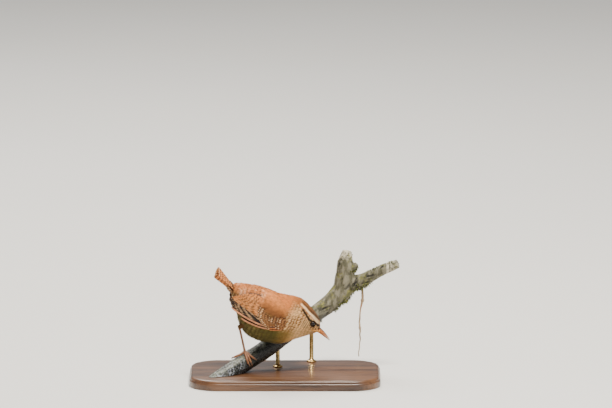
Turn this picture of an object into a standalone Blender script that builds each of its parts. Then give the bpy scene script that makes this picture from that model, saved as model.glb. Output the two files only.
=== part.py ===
"""A wren on a cut length of branch, held on a flat display base, at life size.

Lengths are in millimetres and become metres where a mesh is made. +X is the way the bird
faces, +Z is up, its right side is towards -Y, and the origin is the centre of the base's
underside.
"""

import math

import bmesh
import bpy
import numpy as np
from mathutils import Matrix, Vector

MM = 0.001
GAP = 0.3
EXACT = "EXACT"
MANIFOLD = "MANIFOLD"

# The trunk of the bird is one swept form along a straight axis that slopes down to the face.
BODY_CENTRE = np.array([-12.0, 0.0, 46.3])
BODY_TILT = math.radians(25.5)
REAR = np.array([-math.cos(BODY_TILT), 0.0, math.sin(BODY_TILT)])
BACK = np.array([math.sin(BODY_TILT), 0.0, math.cos(BODY_TILT)])
SIDE = np.array([0.0, 1.0, 0.0])
BODY_SIDES = 36
# Place along the axis towards the rear, back line, belly line, half width.
BODY_STATIONS = np.array([
    [-36.6, 7.3, 4.6, 1.7],
    [-35.2, 9.6, 2.2, 3.6],
    [-33.2, 12.3, 0.4, 5.6],
    [-30.6, 14.1, -2.0, 7.4],
    [-27.5, 15.9, -5.0, 8.6],
    [-24.0, 17.5, -8.3, 9.5],
    [-20.0, 19.0, -12.6, 10.8],
    [-15.5, 19.8, -15.6, 12.4],
    [-10.0, 18.8, -17.5, 13.9],
    [-4.5, 17.4, -19.0, 14.8],
    [1.5, 16.3, -19.7, 15.0],
    [7.0, 16.0, -19.1, 14.6],
    [12.0, 15.5, -16.7, 13.3],
    [16.0, 14.7, -13.2, 11.7],
    [20.0, 13.5, -8.0, 9.8],
    [24.0, 12.1, -3.4, 7.9],
    [27.0, 10.9, 0.2, 6.2],
    [29.2, 9.6, 3.4, 4.2],
    [30.2, 8.0, 5.4, 2.0],
])
HEAD_CUT = -21.5
NECK_CUT = -15.0

# Head
EYE_PLACE = (-30.5, 8.3)
EYE_RADIUS = 1.7
EYE_SINK = 0.85
LID_RING = 2.05
LID_TUBE = 0.42
BILL_BASE = np.array([22.6, 0.0, 35.25])
BILL_SLOPE = math.radians(-42.5)
BILL_AXIS = np.array([math.cos(BILL_SLOPE), 0.0, math.sin(BILL_SLOPE)])
BILL_UP = np.array([-math.sin(BILL_SLOPE), 0.0, math.cos(BILL_SLOPE)])
# Distance from the base, culmen height, mouth line height, lower edge, half width.
BILL_STATIONS = np.array([
    [0.3, 1.9, -0.45, -1.75, 1.85],
    [2.2, 1.95, -0.1, -1.35, 1.55],
    [4.4, 1.75, 0.15, -1.05, 1.2],
    [6.8, 1.3, 0.15, -0.85, 0.9],
    [9.0, 0.75, 0.05, -0.6, 0.6],
    [10.4, 0.3, -0.12, -0.42, 0.3],
])
GAPE = (-4.0, -2.4)
# Half height of the cut that opens the mouth's line.
MOUTH_HALF = 0.16
# Nostril: its two ends along and above the bill's axis, how far out they are, their radii.
NOSTRIL_ENDS = ((1.0, 0.75), (2.8, 0.85))
NOSTRIL_OUT = 1.75
NOSTRIL_RADII = [0.32, 0.22]

# Tail
TAIL_ROOT = np.array([-28.3, 0.0, 55.1])
TAIL_SLOPE = math.radians(53.0)
TAIL_AXIS = np.array([-math.cos(TAIL_SLOPE), 0.0, math.sin(TAIL_SLOPE)])
TAIL_FACE = np.array([math.sin(TAIL_SLOPE), 0.0, math.cos(TAIL_SLOPE)])
TAIL_CUT = 9.6
TAIL_LENGTH = 29.0
TAIL_ROLL = math.radians(20.0)
TAIL_SUNK = 3.5
TAIL_PITCH = 0.95
TAIL_STEPS = (0.0, 0.1, 0.5, 1.1, 2.0, 3.2)
TAIL_ARCH_ROOT = 0.16
TAIL_ARCH_TIP = 0.26
TAIL_WIDTH = 3.0
TAIL_ROOT_PITCH = 0.3
COVERT_LENGTH = 6.5
COVERT_WIDTH = 3.6
COVERT_PLACES = (-2.2, 0.0, 2.2)

# Wing, laid out from the wrist along the folded wing and across it towards the back
WRIST = np.array([1.5, 0.0, 41.2])
WING_SLOPE = math.radians(21.9)
WING_ALONG = np.array([-math.cos(WING_SLOPE), 0.0, math.sin(WING_SLOPE)])
WING_ACROSS = np.array([math.sin(WING_SLOPE), 0.0, math.cos(WING_SLOPE)])
WING_LIFT = 0.7
# Place along the body's axis, half width of the surface that the folded wings lie on.
WING_SHELL = np.array([
    [-18.0, 11.4],
    [-12.0, 13.4],
    [-5.0, 14.7],
    [1.5, 15.0],
    [7.0, 14.5],
    [12.0, 13.0],
    [18.0, 10.6],
    [24.0, 8.3],
    [30.0, 6.4],
])
WING_SHELL_MID = -1.0
WING_SHELL_HALF = 18.5

# Feathers of one folded wing. Each run goes from its lowest feather to its highest: how many,
# first and last root, first and last tip, width, lift of the middle, roll. Roots and tips are
# along and across the wing.
VANE_THICK = 0.5
WING_RUNS = {
    "primaries": (7, (5.0, -5.4), (12.0, -2.2), (31.6, -7.2), (43.4, 2.2), 3.3, 0.62, 0.19),
    "secondaries": (6, (12.0, -1.2), (10.0, 6.4), (41.0, 3.9), (34.6, 7.9), 3.5, 0.66, 0.20),
    "tertials": (3, (9.5, 7.6), (8.5, 10.4), (32.5, 9.0), (26.0, 11.6), 4.2, 0.70, 0.16),
    "primary_coverts": (4, (2.5, -3.6), (6.5, 0.0), (14.0, -7.2), (19.0, -2.4), 3.0, 1.15, 0.14),
    "greater_coverts": (6, (8.0, 0.6), (8.0, 10.4), (21.5, -0.6), (20.0, 10.6), 3.2, 1.22, 0.14),
    "median_coverts": (5, (3.0, 0.6), (4.0, 8.4), (13.5, 0.0), (13.5, 9.6), 3.2, 1.62, 0.12),
    "alula": (2, (0.6, -2.6), (1.4, -1.4), (9.6, -6.8), (11.0, -5.2), 2.4, 1.5, 0.12),
}
TIP_BULGE = 2.6
TIP_BULGE_RUN = "primaries"

# Branch: place of the axis and its radius
BRANCH = np.array([
    [-56.0, -28.9, -1.9, 6.2],
    [-26.5, -5.0, 13.9, 6.2],
    [-12.2, 6.6, 21.0, 6.1],
    [4.8, 20.3, 30.8, 5.9],
    [21.1, 33.0, 40.2, 5.9],
    [31.3, 38.0, 47.1, 6.2],
    [39.4, 41.0, 55.6, 7.1],
    [41.1, 41.5, 65.9, 6.4],
    [41.3, 41.5, 74.8, 5.4],
    [42.5, 41.5, 82.4, 3.2],
])
# The stretch below the fork, whose axis is read by its place in X.
BRANCH_STEM = BRANCH[:7]
BRANCH_ARM = np.array([
    [41.5, 41.0, 57.0, 5.2],
    [49.6, 40.0, 60.6, 5.3],
    [56.4, 39.0, 63.9, 4.4],
    [61.9, 38.0, 67.0, 3.9],
    [68.7, 37.0, 70.7, 3.8],
    [77.6, 36.0, 74.3, 3.2],
])
BRANCH_SPUR = np.array([
    [45.0, 41.0, 69.0, 3.4],
    [49.4, 40.5, 73.3, 1.7],
])
# A thin rootlet that hangs from the fork.
ROOTLET = np.array([
    [52.6, 39.4, 60.0, 0.9],
    [52.9, 39.4, 54.0, 0.75],
    [52.9, 39.6, 48.4, 0.8],
    [51.5, 39.3, 41.5, 0.5],
    [51.0, 39.5, 31.5, 0.55],
    [51.4, 39.6, 22.0, 0.45],
    [50.3, 39.5, 9.0, 0.35],
])

# Base and rods
BASE_LENGTH = 130.0
BASE_WIDTH = 78.0
BASE_HEIGHT = 7.0
BASE_CORNER = 20.0
BASE_EDGE = 1.2
ROD_RADIUS = 1.4
ROD_DEPTH = 3.0
ROD_PLACES = {"stand_rod_low": -6.0, "stand_rod_high": 17.0}

# Legs: heels, then each toe as places along and around the branch, with the claw's tip last
HEEL_RIGHT = np.array([-31.1, -6.0, 38.1])
HEEL_LEFT = np.array([-13.0, 14.8, 28.6])
HIP_RIGHT = np.array([-22.0, -5.5, 43.0])
HIP_LEFT = np.array([-6.0, 5.5, 38.0])
HIP_RADIUS = 4.8
THIGH_RADIUS = 3.4
HEEL_RADIUS = 1.15
FOOT_RADIUS = 1.1
SHANK_RADIUS = 0.8
TOE_RADIUS = 0.75
CLAW_RADIUS = 0.5
TOE_LIFT = TOE_RADIUS + GAP
FOOT_LIFT = 1.5
FOOT_RIGHT = (-25.8, 6.0)
FOOT_LEFT = (4.2, -50.0)
TOES_RIGHT = {
    "inner": ((-25.6, 28.0), (-25.5, 50.0), (-24.5, 74.0), (-23.4, 94.0)),
    "middle": ((-26.3, 28.0), (-27.0, 54.0), (-27.3, 82.0), (-27.5, 112.0)),
    "outer": ((-27.0, 25.0), (-28.3, 52.0), (-29.0, 80.0), (-28.4, 106.0)),
    "hind": ((-28.0, 2.0), (-30.0, -6.0), (-31.6, -18.0), (-32.0, -42.0)),
}
TOES_LEFT = {
    "inner": ((5.4, -70.0), (6.4, -98.0), (6.8, -126.0), (6.6, -154.0)),
    "middle": ((4.0, -76.0), (3.6, -110.0), (2.8, -146.0), (1.8, -182.0)),
    "outer": ((3.0, -74.0), (1.4, -98.0), (0.6, -124.0), (0.2, -150.0)),
    "hind": ((3.2, -36.0), (1.8, -24.0), (0.6, -10.0), (0.0, 10.0)),
}


def unit(vector):
    """The same direction with length 1."""
    return vector / np.linalg.norm(vector)


def smooth(stations, column, at):
    """Cubic curve through one column of a table of stations, read at the given places."""
    places = stations[:, 0]
    values = stations[:, column]
    slopes = np.gradient(values, places)
    at = np.clip(np.asarray(at, dtype=float), places[0], places[-1])
    low = np.clip(np.searchsorted(places, at) - 1, 0, len(places) - 2)
    span = places[low + 1] - places[low]
    t = (at - places[low]) / span
    return ((2 * t**3 - 3 * t**2 + 1) * values[low]
            + (t**3 - 2 * t**2 + t) * span * slopes[low]
            + (3 * t**2 - 2 * t**3) * values[low + 1]
            + (t**3 - t**2) * span * slopes[low + 1])


def body_section(place, grow=0.0):
    """Middle height, half height and half width of the body at a place along its axis."""
    top = smooth(BODY_STATIONS, 1, place) + grow
    belly = smooth(BODY_STATIONS, 2, place) - grow
    return (top + belly) / 2, (top - belly) / 2, smooth(BODY_STATIONS, 3, place) + grow


def body_ring(place, grow=0.0, sides=BODY_SIDES):
    """The body's outline across its axis at one place, as a ring of points."""
    middle, half, width = body_section(place, grow)
    angle = np.arange(sides) * 2 * math.pi / sides
    return (BODY_CENTRE + REAR * place
            + np.outer(middle + half * np.cos(angle), BACK)
            + np.outer(width * np.sin(angle), SIDE))


def body_side(place, height):
    """Half width of the body at a place along its axis and a height across it."""
    middle, half, width = body_section(place)
    reach = np.clip(1 - ((height - middle) / half) ** 2, 0.0, 1.0)
    return width * np.sqrt(reach)


def wing_point(along, across, lift, side):
    """A point of the folded wing, lifted off the flank; side is -1 on the right."""
    spot = WRIST + WING_ALONG * along + WING_ACROSS * across
    place = (spot - BODY_CENTRE) @ REAR
    height = (spot - BODY_CENTRE) @ BACK
    shell = smooth(WING_SHELL, 1, place)
    reach = 1 - ((height - WING_SHELL_MID) / WING_SHELL_HALF) ** 2
    out = max(shell * math.sqrt(max(reach, 0.05)), float(body_side(place, height)))
    lean = (height - WING_SHELL_MID) / WING_SHELL_HALF
    normal = unit(BACK * lean * shell / WING_SHELL_HALF + SIDE * math.sqrt(max(reach, 0.05)))
    point = spot + SIDE * out + normal * (lift + WING_LIFT)
    return point * np.array([1.0, side, 1.0])


def branch_point(place, angle, lift):
    """A point off the branch, from its place in X and its angle from the top to the near side."""
    step = 0.1
    centre = np.array([place, smooth(BRANCH_STEM, 1, place), smooth(BRANCH_STEM, 2, place)])
    onward = np.array([place + step, smooth(BRANCH_STEM, 1, place + step),
                       smooth(BRANCH_STEM, 2, place + step)])
    run = unit(onward - centre)
    top = unit(np.array([0.0, 0.0, 1.0]) - run * run[2])
    near = np.cross(run, top)
    if near[1] > 0:
        near = -near
    turn = math.radians(angle)
    reach = float(smooth(BRANCH_STEM, 3, place)) + lift
    return centre + reach * (math.cos(turn) * top + math.sin(turn) * near)


def material(name, colour, roughness, metallic=0.0):
    """A Principled material of one colour, roughness and metallic value."""
    made = bpy.data.materials.new(name)
    made.use_nodes = True
    shader = made.node_tree.nodes["Principled BSDF"]
    shader.inputs["Base Color"].default_value = (*colour, 1.0)
    shader.inputs["Roughness"].default_value = roughness
    shader.inputs["Metallic"].default_value = metallic
    return made


def place_object(name, mesh, collection, finish=None):
    """Put a mesh in the scene under its name."""
    made = bpy.data.objects.new(name, mesh)
    collection.objects.link(made)
    if finish is not None:
        mesh.materials.append(finish)
    return made


def loft(rings):
    """A closed mesh through a stack of rings, with a flat face at each end."""
    shape = bmesh.new()
    rows = [[shape.verts.new(Vector(point) * MM) for point in ring] for ring in rings]
    for low, high in zip(rows, rows[1:]):
        for here, last in zip(range(len(low)), range(-1, len(low) - 1)):
            shape.faces.new((low[last], low[here], high[here], high[last]))
    shape.faces.new(rows[0])
    shape.faces.new(rows[-1])
    bmesh.ops.recalc_face_normals(shape, faces=shape.faces)
    return finish_mesh(shape)


def finish_mesh(shape):
    """Turn a bmesh into a mesh shaded smooth with its sharp edges kept."""
    mesh = bpy.data.meshes.new("shape")
    shape.to_mesh(mesh)
    shape.free()
    mesh.shade_smooth()
    mesh.set_sharp_from_angle(angle=math.radians(40))
    return mesh


def tube(points, radii, sides=2):
    """A closed tube along points with its own radius at each; sides is the bevel's resolution."""
    curve = bpy.data.curves.new("tube", "CURVE")
    curve.dimensions = "3D"
    curve.bevel_depth = MM
    curve.bevel_resolution = sides
    curve.use_fill_caps = True
    spline = curve.splines.new("POLY")
    spline.points.add(len(points) - 1)
    for spot, point, radius in zip(spline.points, points, radii):
        spot.co = (*(Vector(point) * MM), 1.0)
        spot.radius = radius
    guide = bpy.data.objects.new("tube", curve)
    bpy.context.scene.collection.objects.link(guide)
    evaluated = guide.evaluated_get(bpy.context.evaluated_depsgraph_get())
    mesh = bpy.data.meshes.new_from_object(evaluated)
    bpy.data.objects.remove(guide)
    bpy.data.curves.remove(curve)
    shape = bmesh.new()
    shape.from_mesh(mesh)
    bpy.data.meshes.remove(mesh)
    bmesh.ops.remove_doubles(shape, verts=shape.verts, dist=0.001 * MM)
    bmesh.ops.recalc_face_normals(shape, faces=shape.faces)
    return finish_mesh(shape)


def smooth_path(rows, steps):
    """Points and radii read evenly from a smooth curve through rows of place and radius."""
    rows = np.asarray(rows, dtype=float)
    run = np.concatenate([[0.0], np.cumsum(np.linalg.norm(np.diff(rows[:, :3], axis=0), axis=1))])
    table = np.column_stack([run, rows])
    at = np.linspace(0.0, run[-1], steps)
    found = np.column_stack([smooth(table, column, at) for column in range(1, 5)])
    return found[:, :3], found[:, 3]


def ball(centre, radius, rings=10):
    """A sphere."""
    shape = bmesh.new()
    bmesh.ops.create_uvsphere(shape, u_segments=2 * rings, v_segments=rings, radius=radius * MM,
                              matrix=Matrix.Translation(Vector(centre) * MM))
    return finish_mesh(shape)


def ring(centre, normal, radius, tube_radius, around=20, across=8):
    """A torus with its hole along the normal."""
    turn = Vector(normal).to_track_quat("Z", "Y").to_matrix()
    rings = []
    for step in range(around):
        angle = step * 2 * math.pi / around
        out = np.array([math.cos(angle), math.sin(angle), 0.0])
        loop = []
        for part in range(across):
            bend = part * 2 * math.pi / across
            spot = out * (radius + tube_radius * math.cos(bend))
            spot[2] = tube_radius * math.sin(bend)
            loop.append(np.array(turn @ Vector(spot)) + centre)
        rings.append(loop)
    shape = bmesh.new()
    rows = [[shape.verts.new(Vector(point) * MM) for point in loop] for loop in rings]
    for low, high in zip(rows, rows[1:] + rows[:1]):
        for here, last in zip(range(across), range(-1, across - 1)):
            shape.faces.new((low[last], low[here], high[here], high[last]))
    bmesh.ops.recalc_face_normals(shape, faces=shape.faces)
    return finish_mesh(shape)


def slab(centre, normal, reach, depth):
    """A square block whose face lies at centre and whose body goes along the normal."""
    shape = bmesh.new()
    turn = Vector(normal).to_track_quat("Z", "Y").to_matrix().to_4x4()
    middle = Matrix.Translation(Vector(np.asarray(centre) + np.asarray(normal) * depth / 2) * MM)
    size = Matrix.Diagonal((reach * MM, reach * MM, depth * MM, 1.0))
    bmesh.ops.create_cube(shape, size=1.0, matrix=middle @ turn @ size)
    return finish_mesh(shape)


class Workshop:
    """The collections, and the joining and cutting of pieces."""

    def __init__(self):
        """Empty the scene and make the collections for parts and for cutters."""
        for old in list(bpy.data.objects):
            bpy.data.objects.remove(old)
        self.parts = bpy.data.collections.new("wren")
        self.cutters = bpy.data.collections.new("cutters")
        bpy.context.scene.collection.children.link(self.parts)
        bpy.context.scene.collection.children.link(self.cutters)
        self.cutters.hide_render = True

    def part(self, name, mesh, finish):
        """Add a node."""
        mesh.name = name
        return place_object(name, mesh, self.parts, finish)

    def cutter(self, name, mesh):
        """Add a shape that only cuts others."""
        made = place_object(name, mesh, self.cutters)
        made.hide_render = True
        made.display_type = "WIRE"
        return made

    def join(self, base, pieces, solver=MANIFOLD):
        """Union closed pieces into the base mesh and keep the largest closed surface."""
        group = bpy.data.collections.new("pieces")
        bpy.context.scene.collection.children.link(group)
        joined = [place_object("piece", mesh, group) for mesh in pieces]
        target = place_object("joined", base, bpy.context.scene.collection)
        union = target.modifiers.new("union", "BOOLEAN")
        union.operation = "UNION"
        union.operand_type = "COLLECTION"
        union.collection = group
        union.solver = solver
        evaluated = target.evaluated_get(bpy.context.evaluated_depsgraph_get())
        mesh = bpy.data.meshes.new_from_object(evaluated)
        for spare in joined + [target]:
            bpy.data.objects.remove(spare)
        bpy.data.collections.remove(group)
        return keep_largest(mesh)

    def cut(self, part, cutter, operation="DIFFERENCE"):
        """Cut a node with a cutter, or keep only what they share."""
        step = part.modifiers.new(cutter.name, "BOOLEAN")
        step.operation = operation
        step.object = cutter
        step.solver = EXACT


def keep_largest(mesh):
    """Drop every closed surface of a mesh but the one with the most volume."""
    shape = bmesh.new()
    shape.from_mesh(mesh)
    left = set(shape.verts)
    groups = []
    while left:
        edge = [left.pop()]
        found = set(edge)
        while edge:
            here = edge.pop()
            for link in here.link_edges:
                other = link.other_vert(here)
                if other in left:
                    left.discard(other)
                    found.add(other)
                    edge.append(other)
        groups.append(found)
    keep = max(groups, key=lambda group: span_of(group))
    bmesh.ops.delete(shape, geom=[vert for vert in shape.verts if vert not in keep], context="VERTS")
    return finish_mesh(shape)


def span_of(verts):
    """Volume of the box round some vertices."""
    places = np.array([vert.co for vert in verts])
    return float(np.prod(np.ptp(places, axis=0) + MM * 0.01))


def body_part(first, last, rows, grow=0.0):
    """The length of the body between two places along its axis, with flat ends."""
    return loft([body_ring(place, grow) for place in np.linspace(first, last, rows)])


def build_body(shop, finishes):
    """Head, neck and torso, parted by thin cuts, with the bill's and tail's faces cut flat."""
    head = body_part(BODY_STATIONS[0, 0], HEAD_CUT - GAP / 2, 12)
    lids = []
    for side in (-1, 1):
        lids.append(ring(eye_centre(side, 1.0), eye_normal(side), LID_RING, LID_TUBE))
    head = shop.part("head", shop.join(head, lids, EXACT), finishes["rufous"])
    for side, word in ((-1, "right"), (1, "left")):
        socket = shop.cutter("socket_" + word, ball(eye_centre(side), EYE_RADIUS + GAP))
        shop.cut(head, socket)
        shop.part("eye_" + word, ball(eye_centre(side), EYE_RADIUS), finishes["eye"])
    shop.cut(head, shop.cutter("bill_face", slab(BILL_BASE, BILL_AXIS, 20.0, 12.0)))
    shop.cut(head, shop.cutter("mouth_line", mouth_line()))
    neck = body_part(HEAD_CUT + GAP / 2, NECK_CUT - GAP / 2, 6)
    shop.part("neck", neck, finishes["rufous"])
    torso = body_part(NECK_CUT + GAP / 2, BODY_STATIONS[-1, 0], 24)
    torso = shop.part("torso", torso, finishes["buff"])
    tail_side = shop.cutter("tail_side", slab(tail_point(0, 0, TAIL_CUT), TAIL_AXIS, 60.0, 30.0))
    shop.cut(torso, tail_side)
    return torso


def eye_normal(side):
    """The way the eye looks out of the head."""
    place, height = EYE_PLACE
    step = 0.2
    here = surface_point(place, height, side)
    back = surface_point(place + step, height, side) - here
    up = surface_point(place, height + step, side) - here
    normal = unit(np.cross(back, up))
    return normal if normal[1] * side > 0 else -normal


def surface_point(place, height, side):
    """A point on the flank of the body."""
    return (BODY_CENTRE + REAR * place + BACK * height
            + SIDE * side * float(body_side(place, height)))


def eye_centre(side, lift=0.0):
    """The middle of the eyeball, or a point off it along the eye's axis."""
    return surface_point(*EYE_PLACE, side) + eye_normal(side) * (lift - EYE_SINK)


def bill_point(along, up, out):
    """A point in the bill's own frame."""
    return BILL_BASE + BILL_AXIS * along + BILL_UP * up + SIDE * out


def mouth_line():
    """A thin wedge that opens the line of the mouth from the bill back to its corner."""
    reach = 8.0
    rows = []
    for along, up in ((1.0, -0.4), (-1.4, -0.95), GAPE):
        low, high = up - MOUTH_HALF, up + MOUTH_HALF
        rows.append([bill_point(along, low, -reach), bill_point(along, high, -reach),
                     bill_point(along, high, reach), bill_point(along, low, reach)])
    return loft(rows)


def half_bill(column, sign):
    """Upper or lower half of the bill: a half oval carried from its base to the tip."""
    rings = []
    angles = np.linspace(0.0, math.pi, 9)
    for along, *_ in BILL_STATIONS:
        outer = float(smooth(BILL_STATIONS, column, along))
        mouth = float(smooth(BILL_STATIONS, 2, along)) + sign * GAP / 2
        width = float(smooth(BILL_STATIONS, 4, along))
        rings.append([bill_point(along, mouth + (outer - mouth) * math.sin(angle),
                                 width * math.cos(angle)) for angle in angles])
    return loft(rings)


def build_bill(shop, finishes):
    """The two halves of the bill, with the nostrils cut into the upper one."""
    upper = shop.part("bill_upper", half_bill(1, 1), finishes["horn"])
    shop.part("bill_lower", half_bill(3, -1), finishes["bill"])
    for side, word in ((-1, "right"), (1, "left")):
        near, far = (bill_point(along, up, side * NOSTRIL_OUT) for along, up in NOSTRIL_ENDS)
        nostril = shop.cutter("nostril_" + word, tube([near, far], NOSTRIL_RADII, 1))
        shop.cut(upper, nostril)


def tail_point(out, up, along):
    """A point in the tail's frame, rolled about its own axis towards the right side."""
    turn_out = out * math.cos(TAIL_ROLL) + up * math.sin(TAIL_ROLL)
    turn_up = up * math.cos(TAIL_ROLL) - out * math.sin(TAIL_ROLL)
    return TAIL_ROOT + TAIL_AXIS * along + TAIL_FACE * turn_up + SIDE * turn_out


def vane(place, root, tip, width, outer, lift, roll):
    """One feather: a flat tapered blade whose outer edge is rolled up over its neighbour."""
    root = np.array(root)
    tip = np.array(tip)
    run = unit(tip - root)
    across = np.array([-run[1], run[0]]) * outer
    rings = []
    for part, share in ((0.0, 0.6), (0.4, 0.95), (0.78, 1.0), (0.93, 0.72), (1.0, 0.25)):
        middle = root + (tip - root) * part
        half = width / 2 * share
        thick = VANE_THICK / 2 * (1.0 if part < 1.0 else 0.6)
        ring = []
        for edge, level in ((1, thick), (0.1, thick * 1.4), (-1, thick), (-1, -thick), (1, -thick)):
            spot = middle + across * half * edge
            ring.append(place(spot[0], spot[1], lift + roll * half * edge + level))
        rings.append(ring)
    return loft(rings)


def wing_vanes(side):
    """Every feather of one wing, run by run."""
    def place(along, across, lift):
        return wing_point(along, across, lift, side)

    feathers = []
    for name, (count, root, last_root, tip, last_tip, width, lift, roll) in WING_RUNS.items():
        for number in range(count):
            share = number / (count - 1)
            start = np.array(root) + (np.array(last_root) - root) * share
            end = np.array(tip) + (np.array(last_tip) - tip) * share
            if name == TIP_BULGE_RUN:
                end[0] += TIP_BULGE * 4 * share * (1 - share)
            feathers.append(vane(place, start, end, width, -1, lift, roll))
    return feathers


def tail_sheet(along, out, lift):
    """A point off the arched sheet that the tail feathers lie in."""
    start = TAIL_CUT - TAIL_SUNK
    share = (along - start) / (TAIL_LENGTH - start)
    arch = TAIL_ARCH_ROOT + (TAIL_ARCH_TIP - TAIL_ARCH_ROOT) * share
    bend = out * arch
    return tail_point(out, lift - bend * out / 2, along)


def tail_vanes():
    """The six pairs of tail feathers and the short coverts over and under their roots."""
    start = TAIL_CUT - TAIL_SUNK
    feathers = []
    for side in (-1, 1):
        for number, shorter in enumerate(TAIL_STEPS):
            root = (start, side * TAIL_ROOT_PITCH * (1 + number))
            tip = (TAIL_LENGTH - shorter, side * (0.75 + TAIL_PITCH * number))
            feathers.append(vane(tail_sheet, root, tip, TAIL_WIDTH, side, 0.35, 0.24))
    for out in COVERT_PLACES:
        root = (start, out * 0.6)
        reach = TAIL_CUT + COVERT_LENGTH - abs(out) * 0.6
        feathers.append(vane(tail_sheet, root, (reach, out), COVERT_WIDTH, 1, 1.0, 0.04))
        feathers.append(vane(tail_sheet, root, (reach - 1.0, out), COVERT_WIDTH, 1, -0.9, 0.04))
    return feathers


def build_tail(shop, finishes):
    """The tail on the cap of the rump that it grows from."""
    cap = shop.join(body_part(NECK_CUT + GAP / 2, BODY_STATIONS[-1, 0], 24), tail_vanes())
    tail = shop.part("tail", cap, finishes["barred"])
    face = tail_point(0, 0, TAIL_CUT + GAP)
    shop.cut(tail, shop.cutter("body_side", slab(face, -TAIL_AXIS, 90.0, 90.0)))


def wing_core(side, low, high, thickness, first, last, rows=14, columns=10):
    """A curved plate of the folded wing between a lower and an upper edge."""
    rings = []
    for along in np.linspace(first, last, rows):
        bottom = float(smooth(low, 1, along))
        top = float(smooth(high, 1, along))
        across = np.linspace(bottom, top, columns)
        thick = float(smooth(thickness, 1, along))
        outer = [wing_point(along, spot, thick, side) for spot in across]
        inner = [wing_point(along, spot, 0.0, side) for spot in across[::-1]]
        rings.append(outer + inner)
    return loft(rings)


def build_wings(shop, finishes):
    """Both folded wings: a thin core from wrist to forearm with the feathers rooted in it."""
    low = np.array([[-1.0, -1.8], [3.0, -4.2], [9.5, -6.2], [17.0, -6.8], [27.0, -4.6]])
    high = np.array([[-1.0, 2.0], [3.0, 6.0], [8.0, 10.0], [15.0, 12.0], [22.0, 11.6], [27.0, 9.4]])
    thickness = np.array([[-1.0, 0.8], [3.0, 1.6], [7.0, 1.6], [12.0, 0.8], [27.0, 0.55]])
    for side, word in ((-1, "right"), (1, "left")):
        core = wing_core(side, low, high, thickness, -1.0, 27.0)
        shop.part("wing_" + word, shop.join(core, wing_vanes(side)), finishes["barred"])


def toe(foot, places, grow=0.0):
    """One toe from the foot's ball along the branch, with its claw bent down at the end."""
    points = [branch_point(*foot, FOOT_LIFT)]
    for number, (place, angle) in enumerate(places):
        lift = TOE_LIFT if number < len(places) - 1 else CLAW_RADIUS
        points.append(branch_point(place, angle, lift))
    radii = [TOE_RADIUS] * (len(points) - 2) + [CLAW_RADIUS, 0.18]
    rows = [(*point, radius + grow) for point, radius in zip(points, radii)]
    return smooth_path(rows, 10)


def foot_mesh(shop, foot, toes, grow=0.0):
    """A whole foot, or the space round it when it grows."""
    pieces = [tube(*toe(foot, places, grow), 2) for places in toes.values()]
    return shop.join(ball(branch_point(*foot, FOOT_LIFT), FOOT_RADIUS + grow, 6), pieces)


def build_leg(shop, finishes, word, hip, heel, foot, toes, body_space):
    """Thigh, shank and foot of one leg, each clear of the next by the cut's gap."""
    knuckle = heel + unit(hip - heel) * (HEEL_RADIUS + GAP)
    thigh = smooth_path([(*hip, HIP_RADIUS), (*((hip + heel) / 2), THIGH_RADIUS),
                         (*knuckle, HEEL_RADIUS)], 6)
    thigh = shop.part("thigh_" + word, tube(*thigh, 2), finishes["buff"])
    shop.cut(thigh, body_space)
    ankle = branch_point(*foot, FOOT_LIFT)
    run = unit(ankle - heel)
    end = ankle - run * (FOOT_RADIUS + GAP)
    middle = (heel + end) / 2
    shank = tube([heel, heel + run * 1.8, middle, end - run * 1.5, end],
                 [1.0, SHANK_RADIUS, SHANK_RADIUS * 0.9, SHANK_RADIUS, 0.95], 2)
    shank = shop.join(ball(heel, HEEL_RADIUS, 6), [shank])
    shop.part("shank_" + word, shank, finishes["leg"])
    shop.part("foot_" + word, foot_mesh(shop, foot, toes), finishes["leg"])


def build_perch(shop, finishes):
    """The branch with its broken fork, cut flat where it stands on the base."""
    trunk = tube(*smooth_path(BRANCH, 26), 7)
    arms = [tube(*smooth_path(BRANCH_ARM, 12), 4), tube(*smooth_path(BRANCH_SPUR, 4), 3),
            tube(*smooth_path(ROOTLET, 14), 1)]
    perch = shop.part("perch", shop.join(trunk, arms), finishes["bark"])
    floor = shop.cutter("base_side", slab((0, 0, BASE_HEIGHT + GAP), (0, 0, -1), 300.0, 40.0))
    shop.cut(perch, floor)
    return perch


def build_stand(shop, finishes, perch):
    """The flat base and the two rods that run from it into the branch."""
    corners = []
    for x_side, y_side, start in ((1, 1, 0), (-1, 1, 90), (-1, -1, 180), (1, -1, 270)):
        centre = np.array([x_side * (BASE_LENGTH / 2 - BASE_CORNER),
                           y_side * (BASE_WIDTH / 2 - BASE_CORNER)])
        for step in range(9):
            angle = math.radians(start + step * 90 / 8)
            corners.append(centre + BASE_CORNER * np.array([math.cos(angle), math.sin(angle)]))
    corners = np.array(corners)
    rings = []
    for height, inset in ((0.0, 0.0), (BASE_HEIGHT - BASE_EDGE, 0.0), (BASE_HEIGHT, BASE_EDGE)):
        shrink = 1 - inset / np.linalg.norm(corners, axis=1)[:, None]
        rings.append(np.column_stack([corners * shrink, np.full(len(corners), height)]))
    shop.part("stand_base", loft(rings), finishes["stand"])
    for name, place in ROD_PLACES.items():
        top = branch_point(place, 180.0, -ROD_DEPTH)
        foot = np.array([top[0], top[1], BASE_HEIGHT + GAP])
        shop.part(name, tube([foot, top], [ROD_RADIUS, ROD_RADIUS], 3), finishes["brass"])
        over = top + np.array([0.0, 0.0, GAP])
        hole = tube([foot, over], [ROD_RADIUS + GAP, ROD_RADIUS + GAP], 3)
        shop.cut(perch, shop.cutter(name + "_hole", hole))


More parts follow.
